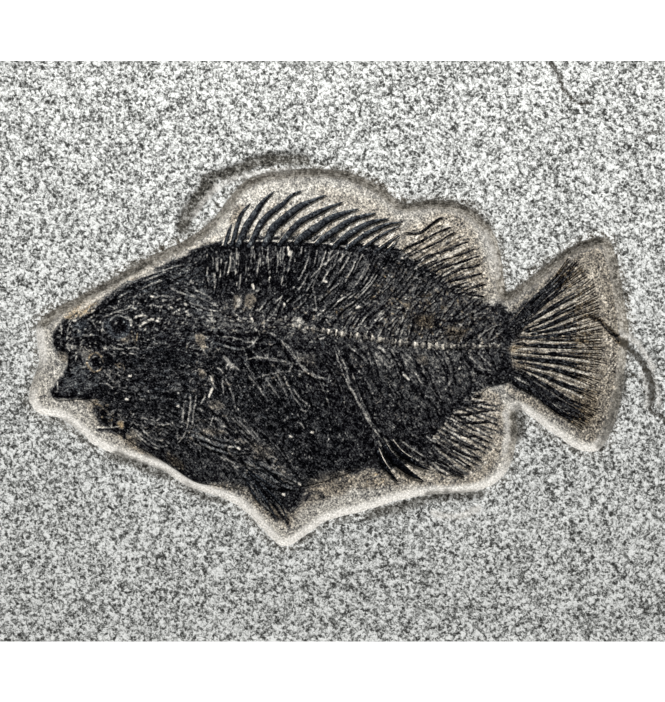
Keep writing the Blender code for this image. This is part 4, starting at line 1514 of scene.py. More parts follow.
@dataclass
class Head:
    """Skull, gill cover and lower jaw."""

    marks: tuple = (
        Thatch([(-53.7,-0.3), (-48.4,1.3), (-41.7,1.6), (-35.1,0.3), (-33.8,-6.4), (-35.1,-13),
            (-43.1,-14.3), (-51,-13), (-54.2,-7.7)], -3, 14, 520, 2.6, 0.13, (SLATE, BLACK, BLACK, GREY),
            101, 0.1),
        Thatch([(-48.4,1.6), (-35.1,10.9), (-32.5,5.6), (-31.9,0.3), (-35.1,-0.3)], 12, 16, 160, 2.4, 0.13,
            (SLATE, BLACK, GREY), 104, 0.1),
        Thatch([(-72.2,6.9), (-61.6,13.5), (-51,18.8), (-39.1,25.4), (-33.8,16.2), (-36.4,5.6), (-48.4,1.6),
            (-61.6,1.6), (-71.7,1.6)], 25, 35, 520, 1.9, 0.15, (GREY, BLACK, SLATE, BLACK, PALE), 102, 0.14),
        Thatch([(-68.2,1.6), (-53.7,-0.3), (-54.2,-7.7), (-48.4,-13.5), (-59,-13.5), (-64.3,-11.7),
            (-69.6,-2.4)], -25, 30, 240, 1.8, 0.15, (GREY, BLACK, PALE, BLACK), 103, 0.12),
        Thatch([(-54.2,17.5), (-44.4,22), (-36.4,23.6), (-33.8,17.5), (-43.1,14), (-53.7,12.2)], 22, 10, 90,
            4.0, 0.15, (SLATE, SLATE, GREY, BLACK), 105, 0.16),
        Lines(PALE, 0.2, 0.13, 0.12, [
            [(-61.1,2.7), (-58.4,2.1), (-56.3,1.3), (-53.7,0.8), (-51,0.8)],
            [(-60.6,1.3), (-57.9,0.5), (-55.3,0.3)], [(-59,1.6), (-56.3,0.5), (-52.3,1.1)],
            [(-50.7,10.3), (-50,9.3)], [(-53.7,12.2), (-54.7,11.1), (-56.8,10.6)],
            [(-47.8,12.2), (-44.9,11.7)], [(-59.8,-5), (-56.8,-6.6), (-54.2,-7.7)],
            [(-60.6,-5.3), (-59,-7.2), (-57.6,-9)], [(-58.4,-4), (-55.8,-5.6)], [(-54.2,-0.5), (-52.1,-0.8)],
            [(-60.8,7.7), (-61.1,6.1), (-60,4.5)], [(-54.2,-20.4), (-52.9,-18.8), (-51.8,-20.1)],
            [(-51,-17.8), (-48.4,-18.3), (-45.7,-19.6), (-42.5,-19.3)],
            [(-37.8,-11.7), (-37.8,-15.6), (-38.6,-18.8)], [(-36.2,-11.9), (-36.7,-15.6), (-37.2,-18.8)],
            [(-72.2,7.2), (-71.9,4.2)], [(-69.6,7.7), (-70.4,5.6), (-70.6,2.9)], [(-70.6,1.6), (-69.6,-0.3)],
            [(-73,-8.2), (-73,-10.3), (-74.1,-11.7)],
            [(-64.8,-7.2), (-66.9,-8.7), (-70.1,-9.3), (-72.2,-9.8)], [(-68,-0.3), (-68.2,-2.9)],
            [(-51.5,19.3), (-48.4,20.4), (-44.4,21.7), (-39.4,23.1)],
            [(-43.6,17), (-40.7,15.6), (-37.8,14.6), (-35.1,14)], [(-50.5,18.6), (-46.8,19.9), (-43.6,21.5)],
            [(-51,16.2), (-48.4,17.8), (-44.9,18.8)], [(-56.8,14.3), (-54.5,15.6)],
            [(-48.4,13.5), (-45.7,14.6), (-42.5,14.3)], [(-60,9.3), (-57.4,10.3), (-54.7,9.8)],
            [(-54.2,4), (-55.3,2.7), (-57.4,2.9)], [(-65.3,8.7), (-63.7,7.7), (-62.9,6.1)],
            [(-68,5.6), (-65.9,4), (-63.2,3.7)],
        ]),
        Lines(CREAM, 0.36, 0.26, 0.15, [
            [(-55.3,9), (-53.9,8.2), (-53.4,6.6)], [(-62.4,2.4), (-61.3,1.1), (-60,0.5)],
            [(-52.6,8.7), (-51,9.5), (-49.2,9)],
            [(-51.3,6.4), (-50.2,7.2), (-48.9,8), (-47.8,8.5), (-45.7,7.7)],
            [(-36.4,4.2), (-35.6,2.1), (-33.8,-0.3)], [(-39.4,12.7), (-38.3,11.9)], [(-69.3,8), (-68.2,7.7)],
            [(-55,-12.7), (-54.2,-13)], [(-41.5,-14.6), (-40.7,-14.8)], [(-54.2,-6.6), (-53.4,-6.9)],
            [(-34.8,-5), (-34.3,-6.1)], [(-48.4,14.6), (-47.3,14.3)], [(-56.3,18.3), (-55.3,18.8)],
        ]),
        Patch(DUN, [(-56.3,4.5), (-53.9,4.8), (-53.7,2.4), (-55.8,2.1)], 0.8, 0.8),
        Patch(SLATE, [(-60.6,7.2), (-59.5,8.7), (-57.1,9.5), (-54.5,8.5), (-53.7,6.6), (-54.2,4.5),
            (-56.8,3.4), (-59.8,4.5)], 0.8, 0.9, -0.15),
        Patch(BLACK, [(-59,6.6), (-58.4,8), (-56.8,8.5), (-55.3,7.7), (-55,6.1), (-56,4.8), (-58.2,4.8)],
            0.6, lift=-0.2),
        Lines(PALE, 0.2, 0.14, 0.1, [[(-59.2,8), (-57.9,9.3), (-56,9.3), (-54.5,8.2)], [(-57.9,7.2),
            (-57.1,7.7)]], 0.8),
        Patch(HAZE, [(-71.7,-8.7), (-69,-5), (-66.4,-2.4), (-63.7,-4), (-61.6,-7.7), (-64.3,-10.3),
            (-70.1,-10.6)], 1.6, 0.6, 0.1),
        Patch(SLATE, [(-69,7.2), (-65.9,8), (-65.1,5.6), (-67.4,4), (-69.3,5)], 1.2, 0.9, 0.15),
        Patch(BLACK, [(-66.4,3.4), (-61.6,2.9), (-61.6,0.3), (-65.9,0.8)], 1.0, 0.9, -0.2),
        Thatch([(-73.3,-11.4), (-68,-1.9), (-65.9,-2.9), (-60.6,-10.9)], 35, 40, 110, 1.1, 0.16, (SLATE,
            BLACK, HAZE, SLATE), 107, 0.14),
        Thatch([(-65.3,-12.5), (-58.4,-13.5), (-55.3,-18.3), (-56.8,-21.5), (-61.6,-18.3)], 20, 70, 60, 0.7,
            0.26, (OCHRE, BLACK, DUN, BLACK, PALE), 113, 0.14),
        Thatch([(-71.7,7.7), (-61.6,11.9), (-60.6,1.6), (-70.6,0.3)], 20, 70, 110, 0.8, 0.22, (PALE, GREY,
            CREAM, BLACK), 108, 0.2),
        Thatch([(-53.7,13.5), (-40.4,14), (-33.8,10.3), (-43.1,5.6), (-52.3,6.9)], 10, 60, 120, 0.9, 0.22,
            (PALE, GREY, CREAM, BLACK), 109, 0.2),
        Thatch([(-68,1.3), (-60.6,-0.3), (-54.7,-6.6), (-59,-9.8), (-65.9,-5.6)], -30, 60, 90, 0.8, 0.2,
            BROKEN, 110, 0.2),
        Thatch([(-63.2,-13.5), (-53.7,-16.2), (-39.9,-19.3), (-38.8,-25.2), (-53.7,-21.5)], -20, 60, 140,
            0.9, 0.2, BROKEN, 111, 0.2),
        Thatch([(-38.8,4.5), (-31.4,2.9), (-31.9,-13.5), (-36.2,-13.5), (-37.8,-5)], 70, 40, 90, 1.0, 0.2,
            BROKEN, 112, 0.2),
        Patch(DUN, [(-67.2,1.3), (-64.8,1.1), (-63.7,-0.8), (-65.9,-1.9)], 0.8, 0.7),
        Patch(DUN, [(-36.2,4.2), (-34.6,4.5), (-33.3,1.9), (-33.5,0.3), (-35.4,1.3)], 0.8, 0.9, 0.1),
        Patch(DUN, [(-35.4,-5), (-33.8,-4.8), (-33.3,-6.6), (-34.8,-7.2)], 0.8, 0.8, 0.1),
        Patch(BLACK, [(-64.5,-2.1), (-62.7,-1.9), (-61.9,-3.4), (-63.2,-4.5)], 0.6, lift=-0.3),
        Patch(GREY, [(-66.9,1.1), (-65.1,0.8), (-64.5,-1.3), (-66.4,-2.4), (-67.4,-0.8)], 0.8, 0.8, -0.1),
        Patch(DUN, [(-73,-0.3), (-70.6,-0.3), (-70.6,-2.7), (-72.7,-2.9)], 0.8, 0.7, -0.2),
        Patch(BLACK, [(-60.8,-1.9), (-57.4,-2.1), (-56.8,-4), (-60,-4.2)], 1.0, lift=-0.2),
        Lines(OCHRE, 0.25, 0.2, 0.1, [
            [(-64.8,-2.4), (-64.3,-1.1), (-62.7,-0.5), (-61.3,-1.6), (-60.8,-3.2)],
            [(-64.8,-4), (-63.7,-5.3), (-62.1,-5.3), (-61.1,-4.2)], [(-53.4,5.3), (-52.9,3.4), (-52.3,1.6)],
            [(-51.8,4.8), (-52.1,2.7)], [(-57.4,-3.7), (-56.3,-3.2), (-55.3,-4), (-55.3,-5.3)],
            [(-65.3,-2.9), (-64.8,-4.5)], [(-57.9,-3.4), (-56.3,-4.5)],
            [(-62.7,-14), (-61.1,-14.8), (-60,-16.2)],
        ], 0.8),
        Lines(BLACK, 0.4, 0.34, 0.2, [
            [(-74.1,-11.1), (-72.2,-12.2), (-68.2,-11.9), (-64.3,-12.5), (-60.6,-12.5)],
            [(-69.6,-0.3), (-70.1,-3.7), (-69.6,-7.2)], [(-73.3,5.6), (-73.8,2.9), (-72.7,0.8)],
            [(-71.2,6.1), (-71.7,3.4), (-71.2,1.3)],
            [(-67.4,8.2), (-62.9,10.3), (-59,13), (-56.3,15.6), (-51,18.3)],
            [(-65.9,3.4), (-62.1,2.7), (-58.4,1.9), (-54.2,0.3)],
            [(-62.9,-20.9), (-59.5,-20.9), (-55,-20.4)], [(-55.5,-20.9), (-55.3,-23.6)],
            [(-62.7,-16.2), (-61.6,-18.3), (-59.5,-19.3)],
        ]),
        Lines(CREAM, 0.18, 0.14, 0.1, [[(-62.9,-20.4), (-59.5,-20.4), (-55.8,-19.9)]], 0.8),
        Patch(OLIVE, [(-54.2,-20.9), (-51.5,-21.5), (-50.5,-24.1), (-53.1,-23.6)], 1.0, 0.8),
        Patch(OCHRE, [(-57.1,-18.8), (-55.5,-18.8), (-55.5,-20.4), (-56.8,-20.4)], 0.8, 0.8),
        Lines(PALE, 0.2, 0.14, 0.12, [[(-52.9,-20.7), (-49.7,-23.1), (-46.8,-25.2), (-43.6,-25.4)],
            [(-50.5,-20.9), (-47.8,-23.3), (-44.9,-23.9)], [(-52.1,-22), (-48.9,-24.9), (-46.2,-26.2)]]),
        Patch(HAZE, [(-38.8,16.2), (-35.1,16.2), (-31.4,13.5), (-30.3,10.3), (-32.5,7.2), (-36.2,9.3),
            (-38.3,12.5)], 2.0, 0.7, 0.1),
        Thatch([(-39.4,16.7), (-34.1,16.2), (-29.8,12.5), (-31.4,6.6), (-36.2,8.7)], -38, 14, 60, 2.6, 0.2,
            (BLACK, HAZE, PALE, BLACK), 114, 0.2),
        Lines(PALE, 0.18, 0.14, 0.1, [
            [(-37.8,14.8), (-33.8,13.5), (-30.9,11.9)], [(-38.3,13), (-34.6,11.4), (-31.4,10.6)],
            [(-33,10.9), (-30.3,10.6)], [(-33.3,9.5), (-30.6,9.3)], [(-33.5,8), (-30.9,7.7)],
            [(-32.2,11.1), (-31.9,7.4)], [(-36.4,16.2), (-34.1,15.1), (-31.9,13.5)],
            [(-38,-14.3), (-38.3,-18.6), (-39.4,-22.3), (-41.2,-24.6)], [(-39.4,-13.8), (-39.9,-19.1)],
            [(-36.7,-14.3), (-37.2,-19.6)], [(-33.8,-11.9), (-35.1,-14.3)],
        ]),
    )


@dataclass
class Body:
    """The trunk with its ribs, fin supports and shoulder bones."""

    marks: tuple = (
        Thatch([(-33.8,27.3), (-0.7,28.4), (17.9,23.6), (41.7,12.2), (45.7,1.6), (44.4,-6.4), (36.4,-10.3),
            (25.8,-20.9), (9.9,-27.6), (-6,-34.2), (-8.6,-36.8), (-35.1,-33.7), (-53.7,-20.4), (-33.8,-13),
            (-31.1,2.9)], 40, 60, 900, 1.6, 0.13, (BLACK, SLATE, BLACK, GREY), 200, 0.12),
        Patch(GREY, [(-2,26.8), (17.9,22.5), (41.7,11.4), (45.2,1.6), (42.8,-5.6), (34.3,-10.9),
            (23.2,-14.3), (15.2,-7.7), (3.3,0.3)], 8.0, 0.44),
        Patch(GREY, [(7.3,-2.4), (23.2,-2.4), (39.1,-7.7), (28.5,-19.6), (13.9,-26.2)], 8.0, 0.12),
        Patch(GREY, [(-48.4,-19.6), (-31.1,-14.3), (-18.7,-23.6), (-8.6,-33.7), (-18.7,-39.5),
            (-35.1,-33.7)], 8.0, 0.25),
        Patch(GREY, [(-33.8,13.5), (-19.2,15.6), (-0.7,13.5), (-0.7,1.6), (-8.6,-2.4), (-24.5,0.3),
            (-33.8,4.2)], 6.0, 0.2),
        Thatch([(-0.7,28.4), (17.9,23.6), (41.7,12.2), (45.7,1.6), (44.4,-6.4), (36.4,-10.3), (25.8,-20.9),
            (12.6,-23.6), (2,1.6)], 35, 50, 900, 1.4, 0.14, (ASH, GREY, ASH, BLACK, DUN), 208, 0.12),
        Thatch([(17.9,21.5), (41.7,11.4), (45.7,5.6), (44.4,1.9), (17.9,3.4)], 35, 50, 380, 1.2, 0.15, (ASH,
            GREY, DUN, BLACK, DUN), 209, 0.12),
        Thatch([(-33.8,26.8), (-0.7,27.8), (0.7,1.6), (-0.7,-23.6), (-21.9,-23.6), (-32.5,2.9)], 65, 40, 420,
            1.6, 0.14, (SLATE, GREY, BLACK, ASH), 210, 0.12),
        Comb([(-33,27.3), (-19.2,28.6), (-8.6,28.6)], [(-33.5,15.6), (-21.9,15.6), (-10.7,16.7)], 24, 0.22,
            (BLACK, CREAM), 0.02, 0.5, 0.6, 211, 0.25),
        Comb([(-31.9,27.8), (-19.2,28.6), (-8.6,28.6)], [(-31.4,18.8), (-21.9,18.3), (-11.3,19.9)], 16, 0.2,
            DARK_PALE, 0.03, 0.8, 0.5, 212, 0.2),
        Comb([(-7.3,28.4), (4.6,27.8), (17.9,25.2)], [(-12.3,15.6), (-3.8,13.5), (6.2,10.3)], 20, 0.3,
            DARK_PALE, 0.05, 0.8, 0.5, 213, 0.2),
        Comb([(16.6,24.6), (28.5,19.9), (41.7,11.9)], [(4.6,10.9), (17.9,8.2), (31.1,5.6)], 20, 0.24,
            DARK_GREY, 0.05, 1.2, 0.7, 214, 0.18),
        Comb([(-28.2,8.7), (-13.9,6.6), (-0.7,4)], [(-20.3,17.5), (-4.4,17.8), (9.4,14.6)], 14, 0.3,
            DARK_PALE, 0.06, 1.0, 0.5, 215, 0.2),
        Comb([(-0.1,3.7), (17.9,1.9), (43.3,1.1)], [(6.2,12.2), (24.2,10.3), (46,7.7)], 22, 0.28, DARK_PALE,
            0.06, 0.9, 0.4, 216, 0.22),
        Comb([(3.3,2.1), (17.9,0.3), (41.7,-0.3)], [(8.6,-7.2), (25.3,-9.8), (44.9,-6.6)], 18, 0.28,
            DARK_PALE, 0.08, 0.9, 0.4, 217, 0.22),
        Comb([(-29.3,2.9), (-13.9,0.8), (4.6,-0.3)], [(-17.1,-20.9), (-3.8,-22.5), (14.2,-23.6)], 20, 0.2,
            DARK_GREY, 0.1, 1.0, 0.7, 218, 0.22),
        Comb([(9.9,-7.7), (25.8,-9.8), (39.1,-7.2)], [(15.8,-23.6), (28.5,-19.3), (40.7,-9.8)], 16, 0.18,
            DARK_GREY, 0.05, 1.0, 0.4, 219, 0.16),
        Comb([(-53.7,-19.6), (-44.4,-16.2), (-33.8,-13.5)], [(-41.5,-29.4), (-31.1,-29.4), (-18.7,-26.8)],
            15, 0.2, DARK_GREY, 0.06, 0.9, 0.7, 220, 0.24),
        Comb([(-35.1,-20.9), (-28.5,-18.3), (-21.9,-17.8)], [(-18.7,-34.2), (-13.9,-34.7), (-8.6,-33.7)], 10,
            0.22, DARK_GREY, 0.04, 0.7, 0.6, 221, 0.24),
        Comb([(14.7,-23.6), (20,-22.5), (25.3,-21.5)], [(18.9,-29.9), (24.2,-29.4), (28.5,-26.2)], 9, 0.18,
            DARK_GREY, 0.04, 0.5, 0.8, 222, 0.2),
        Patch(GREY, [(-35.1,8.7), (-24.5,9.3), (-11.3,8.2), (-4.4,6.1), (-6.5,4), (-16.6,5.6), (-27.2,6.1),
            (-35.1,6.6)], 1.6, 0.35, 0.1),
        Lines(BLACK, 0.6, 0.5, 0.0, [[(-37.8,5.8), (-31.1,4.8), (-24.5,4), (-18.7,4.8)], [(-33.8,27),
            (-24.5,28.6), (-11.3,29.2), (4.6,28.4), (13.9,27.6), (18.9,26.5)]]),
        Lines(BLACK, 0.46, 0.38, 0.34, [
            [(-31.1,2.9), (-27.2,1.9), (-23.2,1.1), (-19.2,1.1), (-15.2,1.9)],
            [(-25,-0.8), (-21.9,0.3), (-19.7,2.4), (-17.9,4.2), (-16,6.9), (-14.7,9.5), (-12.6,13.5),
                (-11.3,16.2)],
            [(-18.7,4.8), (-16.6,4), (-13.9,2.1), (-11.8,-0.8), (-9.7,-3.4), (-7.3,-5.6), (-4.6,-6.9),
                (-2,-8.2)], [(-21.3,-2.9), (-18.7,-2.7), (-15.2,-3.2), (-11.3,-4.5), (-9.4,-5.3)],
            [(-21.9,0.3), (-21.3,-2.9), (-20.3,-6.4), (-19.7,-8)],
            [(17.6,-0.3), (18.9,-4.5), (21.1,-9), (23.2,-11.7)], [(21.1,-1.1), (22.9,-4.5), (25.3,-8.7)],
            [(35.4,-1.9), (38.6,-5.3), (42.3,-6.4)], [(33.8,1.6), (37,4), (40.1,5.8)],
            [(3.8,-0.3), (5.2,-5), (7.3,-10.9), (9.9,-17), (14.2,-24.1)],
            [(-35.1,-23.1), (-31.1,-24.9), (-25.8,-26.8), (-21.9,-26.8)],
            [(-23.2,-33.7), (-19.2,-35.8), (-13.9,-36.8), (-9.1,-36.3)],
            [(-18.7,-31), (-15.5,-32.6), (-12.3,-34.7)], [(-20,-38.7), (-17.6,-41.6), (-15,-44.5)],
            [(-19.7,-35.8), (-16,-40.3), (-11.3,-46.9)],
            [(-38.8,-22.5), (-33.5,-25.2), (-28.8,-27.3), (-24.5,-29.4)],
            [(-25.6,-17.8), (-21.9,-22.5), (-18.2,-26.2)],
            [(-7.3,-40), (-6,-37.9), (-3.8,-37.6), (-2,-39.5)],
        ]),
        Lines(PALE, 0.2, 0.14, 0.14, [
            [(-29.3,3.7), (-26.6,3.7), (-22.9,2.4), (-19.7,2.1)],
            [(-25.6,0), (-22.1,1.1), (-20,3.2), (-18.4,5.3)], [(-17.6,7.7), (-15.5,10.3), (-13.6,14)],
            [(-16.6,4.8), (-13.9,3.2), (-11.8,0.3), (-9.9,-2.1)],
            [(-12.3,1.9), (-10.5,-0.5), (-8.6,-3.4), (-5.4,-6.1), (-1.5,-7.7)],
            [(-21.3,-2.1), (-18.7,-1.9), (-15.2,-2.1), (-11.3,-3.2), (-8.6,-4)],
            [(-22.7,-2.4), (-19.7,-1.6), (-16.6,-2.4), (-12.9,-2.9)],
            [(-20.3,-7.2), (-17.6,-6.4), (-14.7,-5.8), (-11.3,-5.3), (-8.6,-5.3), (-5.4,-6.6), (-2.3,-7.7)],
            [(-9.4,-0.3), (-8.9,-2.9), (-7.6,-5), (-5.4,-6.6)], [(-22.4,-6.4), (-18.7,-10.9)],
            [(-21.9,-7.2), (-19.7,-9.8), (-17.9,-12.5)], [(-17.9,-7.2), (-16,-9.8), (-14.2,-12.5)],
            [(-14.7,-6.4), (-13.4,-9.3), (-11.8,-12.5)],
            [(-12.6,-7.7), (-10.7,-11.4), (-8.6,-14.8), (-7.6,-16.2)],
            [(-10.5,-10.1), (-8.6,-12.5), (-6.2,-14.8)], [(-8.6,-15.6), (-7,-16.2), (-6,-14.3)],
            [(-26.1,-17.2), (-22.7,-20.9), (-20.3,-23.3), (-17.9,-25.7)],
            [(-23.7,-18), (-21.3,-20.9), (-18.9,-23.9)], [(-27.2,-17), (-24.5,-19.9), (-21.9,-22.3)],
            [(0.7,0.3), (1.7,-2.9), (3.3,-7.2)], [(0.7,1.6), (3.3,-3.7), (4.6,-9), (6.8,-13), (9.4,-17.8)],
            [(5.2,-5.6), (6.2,-8.7), (7.3,-11.9)], [(7.3,-11.7), (8.9,-15.6), (10.5,-19.3)],
            [(-26.9,26.8), (-26.1,23.6), (-25.8,20.1)], [(-28.2,23.6), (-28.8,20.1)],
            [(-21.6,28.4), (-21.6,23.6)], [(-18.7,28.4), (-18.7,25.4)], [(-17.1,27.8), (-17.4,23.1)],
            [(-15.2,28.4), (-15.2,25.4)], [(-14.4,26), (-14.7,21.7)], [(-12.9,27.8), (-13.4,24.1)],
            [(-10.7,26.8), (-11.3,23.6)], [(-33.3,20.7), (-32.7,17)], [(-31.7,20.7), (-31.4,18.3)],
            [(-30.6,23.6), (-30.6,20.9)], [(-2.8,23.1), (-4.1,19.9), (-5.2,17)],
            [(3.8,26), (1.7,24.1), (-0.4,21.7)], [(0.9,25.7), (-3.3,22), (-6,19.3)],
            [(-5.2,17), (-4.4,12.5), (-3.8,8)], [(-32.7,-6.4), (-31.9,-8.2), (-31.1,-10.1)],
            [(-29.3,-7.7), (-29,-11.4)], [(-28.5,-7.2), (-26.6,-11.4), (-25.6,-16.2)],
            [(16.8,4.2), (18.4,7.7), (19.7,10.3)], [(2.3,5), (4.4,8), (6.2,10.6)],
            [(6.2,5), (7.8,7.7), (9.4,9.8)], [(8.9,4.5), (10.5,6.9), (12.3,9.3)], [(12.3,3.7), (14.2,8)],
            [(17.9,3.4), (19.2,6.9)], [(28.5,8.2), (30.3,10.9)], [(12.6,-4), (11.8,-0.3)],
            [(21.9,-5.6), (24.2,-9.3)], [(36.4,-1.3), (39.6,-4.5), (42.8,-5.3)], [(39.6,-1.6), (42.5,-4.2)],
            [(38,2.9), (41.2,5.6), (44.4,7.2)], [(41.7,2.7), (45.2,5.3), (47.6,6.6)],
            [(7.8,-14.3), (9.4,-17.8), (11.5,-20.4), (12.6,-21.7)],
            [(-21.9,-31.8), (-19.2,-33.4), (-16.6,-34.7), (-10.5,-37.1)],
            [(-18.9,-29.4), (-16,-31.3), (-13.6,-32.9), (-8.1,-35.5)],
            [(-29.8,-28.1), (-27.2,-29.9), (-25,-31.8)],
        ], 0.8),
        Lines(HAZE, 0.4, 0.3, 0.24, [
            [(-38.3,-19.6), (-34.6,-21.5), (-31.1,-23.1), (-28.5,-23.9), (-23.7,-24.6)],
            [(-37,-20.9), (-34.3,-23.1), (-31.7,-24.6), (-25.6,-25.7)],
            [(-35.1,-24.4), (-31.1,-26.2), (-25.8,-27.6)], [(-23.2,-29.4), (-18.7,-31.5), (-15.2,-34.2)],
            [(-20.5,-29.4), (-16.6,-31.5), (-12.6,-33.7)], [(-25,-31.5), (-21.9,-34.7), (-19.7,-36.8)],
            [(-20.3,-36.6), (-18.7,-39), (-17.1,-41.6), (-15.2,-44.3)],
            [(-39.4,-20.9), (-34.1,-23.6), (-29.3,-25.4), (-24.5,-27.6)],
            [(-24,-28.9), (-18.7,-32.6), (-12.9,-35.8), (-9.1,-36.8)], [(-34.6,4.8), (-31.4,5.6), (-28.2,5)],
            [(-32.5,2.4), (-28.8,1.3), (-24.5,0.3)],
        ]),
        Lines(PALE, 0.22, 0.18, 0.2, [
            [(3.3,-7.2), (4.6,-9.8), (6.2,-12.5), (7.8,-15.6), (9.4,-18.6), (11.3,-21.2), (12.9,-23.3)],
            [(-29.3,-27.6), (-27.7,-28.9), (-25.8,-30.2)], [(-8.6,-19.1), (-7.6,-20.4)],
            [(-21.9,-35.5), (-20.5,-37.9), (-18.9,-40.3), (-16,-43.2)],
        ]),
        Lines(CREAM, 0.36, 0.26, 0.15, [
            [(-11.8,27.8), (-11.5,25.2)], [(18.9,-6.1), (20.3,-7.7)], [(-21.3,17.8), (-20.8,16.2)],
            [(-31.4,9), (-31.1,7.4)], [(-25.3,8.5), (-24.5,8)], [(-21.6,9), (-21.1,7.7)],
            [(-18.7,7.2), (-17.9,6.1)], [(-4.6,9.3), (-4.1,8.2)], [(-12.9,12.7), (-12.6,11.7)],
            [(-32.5,-6.4), (-31.7,-9)], [(-31.9,-9.8), (-33,-12.5)], [(-2.5,18.8), (-1.5,18.3)],
            [(-37.8,18.6), (-37,17.8)], [(-10.7,8.2), (-8.6,8)], [(6.2,11.4), (7.6,11.7)],
            [(-5.7,-21.5), (-4.9,-21.7)], [(-11.5,-22.5), (-10.7,-23.1)], [(-16,-29.9), (-15.2,-30.5)],
            [(-13.4,-31.8), (-12.6,-32.3)], [(-9.1,-35.2), (-8.3,-35.8)], [(-13.4,-37.9), (-12.6,-38.4)],
            [(-27.4,-25.4), (-26.6,-25.7)], [(-25.3,-25.7), (-24.5,-26)], [(-20.8,-24.6), (-19.7,-25.2)],
            [(22.7,23.1), (23.7,22.5)], [(18.2,24.9), (18.9,24.4)],
        ]),
        Thatch([(-33.8,13.5), (-21.9,11.9), (-0.7,10.3), (-0.1,3.4), (-16.6,4.5), (-33.8,6.1)], 5, 60, 190,
            1.1, 0.26, (GREY, PALE, DUN, BLACK), 235, 0.2),
        Thatch([(-33.8,1.6), (-0.7,0.3), (-0.7,-10.3), (-31.1,-9)], -45, 40, 130, 1.6, 0.2, SHARDS, 236,
            0.18),
        Thatch([(-33.8,-14), (-18.7,-25.7), (-8.6,-34.2), (-18.7,-34.2), (-32.5,-26.2), (-40.4,-23.6)], -40,
            30, 150, 1.8, 0.22, SHARDS, 237, 0.2),
        Lines(BLACK, 0.5, 0.45, -0.15, [[(-29.3,27), (-24.5,28.1), (-18.7,28.4), (-12.6,28.4), (-6,28.4),
            (3.3,27), (10.5,26.2)]]),
        Lines(CREAM, 0.3, 0.26, 0.15, [[(-29.5,28.1), (-27.2,29.2), (-22.9,29.2), (-18.7,29.4),
            (-14.4,29.4)], [(-12.9,29.4), (-8.6,29.4), (-3.8,28.9), (-0.7,28.6), (3.6,27.8)]]),
        Thatch([(-28.8,30.5), (-8.6,31), (5.2,28.9), (4.6,27.8), (-8.6,29.2), (-28.8,28.6)], 5, 50, 60, 0.8,
            0.2, (CREAM, PALE, BLACK), 238, 0.12),
        Patch(PALE, [(-29.3,-1.3), (-27.7,-2.1), (-24.5,-5), (-24.2,-5.8), (-26.4,-4.8), (-28.5,-2.9)], 0.6,
            0.75, 0.1),
        Patch(DUN, [(-26.9,14), (-25,15.1), (-24.2,12.5), (-26.1,11.4)], 0.9, 0.8),
        Patch(PALE, [(-25.6,13.8), (-24.5,13.8), (-24,12.2), (-25.3,11.7)], 0.7, 0.8, 0.05),
        Patch(DUN, [(-23.5,13.8), (-21.9,15.1), (-20.3,14), (-21.1,11.9), (-22.9,11.4)], 0.9, 0.9),
        Patch(DUN, [(-8.6,-0.8), (-4.9,-1.3), (-4.4,-4.2), (-7.8,-4)], 1.6, 0.4),
        Patch(PALE, [(-10.7,8.7), (-8.6,9.3), (-7.8,7.4), (-10.2,6.9)], 0.8, 0.7, 0.05),
        Patch(DUN, [(-33,-13.8), (-29.8,-13.2), (-29,-15.4), (-32.2,-15.9)], 1.0, 0.6),
        Patch(DUN, [(-34.6,-20.4), (-29.3,-20.7), (-28.2,-22), (-33,-22.3)], 1.0, 0.6),
        Patch(RUST, [(-44.4,-26.8), (-40.9,-28.4), (-39.4,-31.5), (-43.1,-29.9)], 1.4, 0.6),
        Patch(SOIL, [(-21.9,-24.1), (-17.1,-25.2), (-15.5,-27.8), (-20.3,-28.4)], 1.6, 0.5),
        Patch(GREY, [(10.7,-0.8), (13.1,-0.8), (13.9,-3.2), (11.8,-3.4)], 0.8, 0.6),
        Patch(GREY, [(17.9,-1.1), (20.5,-1.3), (21.6,-3.7), (19.2,-3.7)], 0.8, 0.55),
        Patch(DUN, [(22.1,-1.3), (24.8,-1.3), (25.6,-3.7), (23.2,-3.7)], 0.8, 0.6),
        Patch(GREY, [(26.1,-1.6), (28.2,-1.6), (29,-4), (26.9,-4)], 0.8, 0.6),
        Patch(OCHRE, [(18.7,13), (20.5,13), (20.5,11.1), (18.9,11.1)], 1.4, 0.5),
        Patch(RUST, [(22.1,9.3), (26.9,9.5), (26.9,6.1), (23.2,6.1)], 1.6, 0.7),
        Patch(RUST, [(31.1,6.6), (35.4,5.6), (34.3,2.9), (31.1,3.4)], 1.6, 0.6),
        Patch(DUN, [(29,12.2), (30.3,12.2), (30.3,11.1), (29,11.1)], 0.8, 0.7),
        Patch(DUN, [(-6,-34.2), (3.3,-31.5), (5.2,-36.3), (-2,-39), (-6.5,-37.6)], 2.0, 0.6),
        Thatch([(-33.8,26.8), (-0.7,27.8), (17.9,23.6), (41.7,12.2), (45.7,1.6), (41.7,-9), (28.5,-19.6),
            (12.6,-27.6), (-6,-32.9), (-35.1,-31.5), (-51,-20.4), (-33.8,-13), (-31.1,2.9)], 20, 80, 420,
            0.45, 0.17, FLECKS, 231, 0.1),
        Thatch([(17.9,23.6), (41.7,12.2), (44.4,2.9), (17.9,3.4), (9.9,13.5)], 20, 80, 240, 0.8, 0.18, (DUN,
            PALE, OCHRE, RUST), 232, 0.1),
        Thatch([(-72.2,6.9), (-61.6,13.5), (-51,18.3), (-37.8,23.6), (-32.5,16.2), (-33.8,1.6), (-48.4,0.3),
            (-61.6,0.3), (-71.7,0.3)], 20, 80, 240, 0.5, 0.17, FLECKS, 233, 0.1),
        Thatch([(-33.8,10.9), (-0.7,8.7), (17.9,5.6), (44.4,2.4), (44.4,-0.3), (17.9,-0.3), (-0.7,2.4),
            (-33.8,5.6)], 5, 60, 300, 0.7, 0.16, (PALE, GREY, CREAM, BLACK), 234, 0.12),
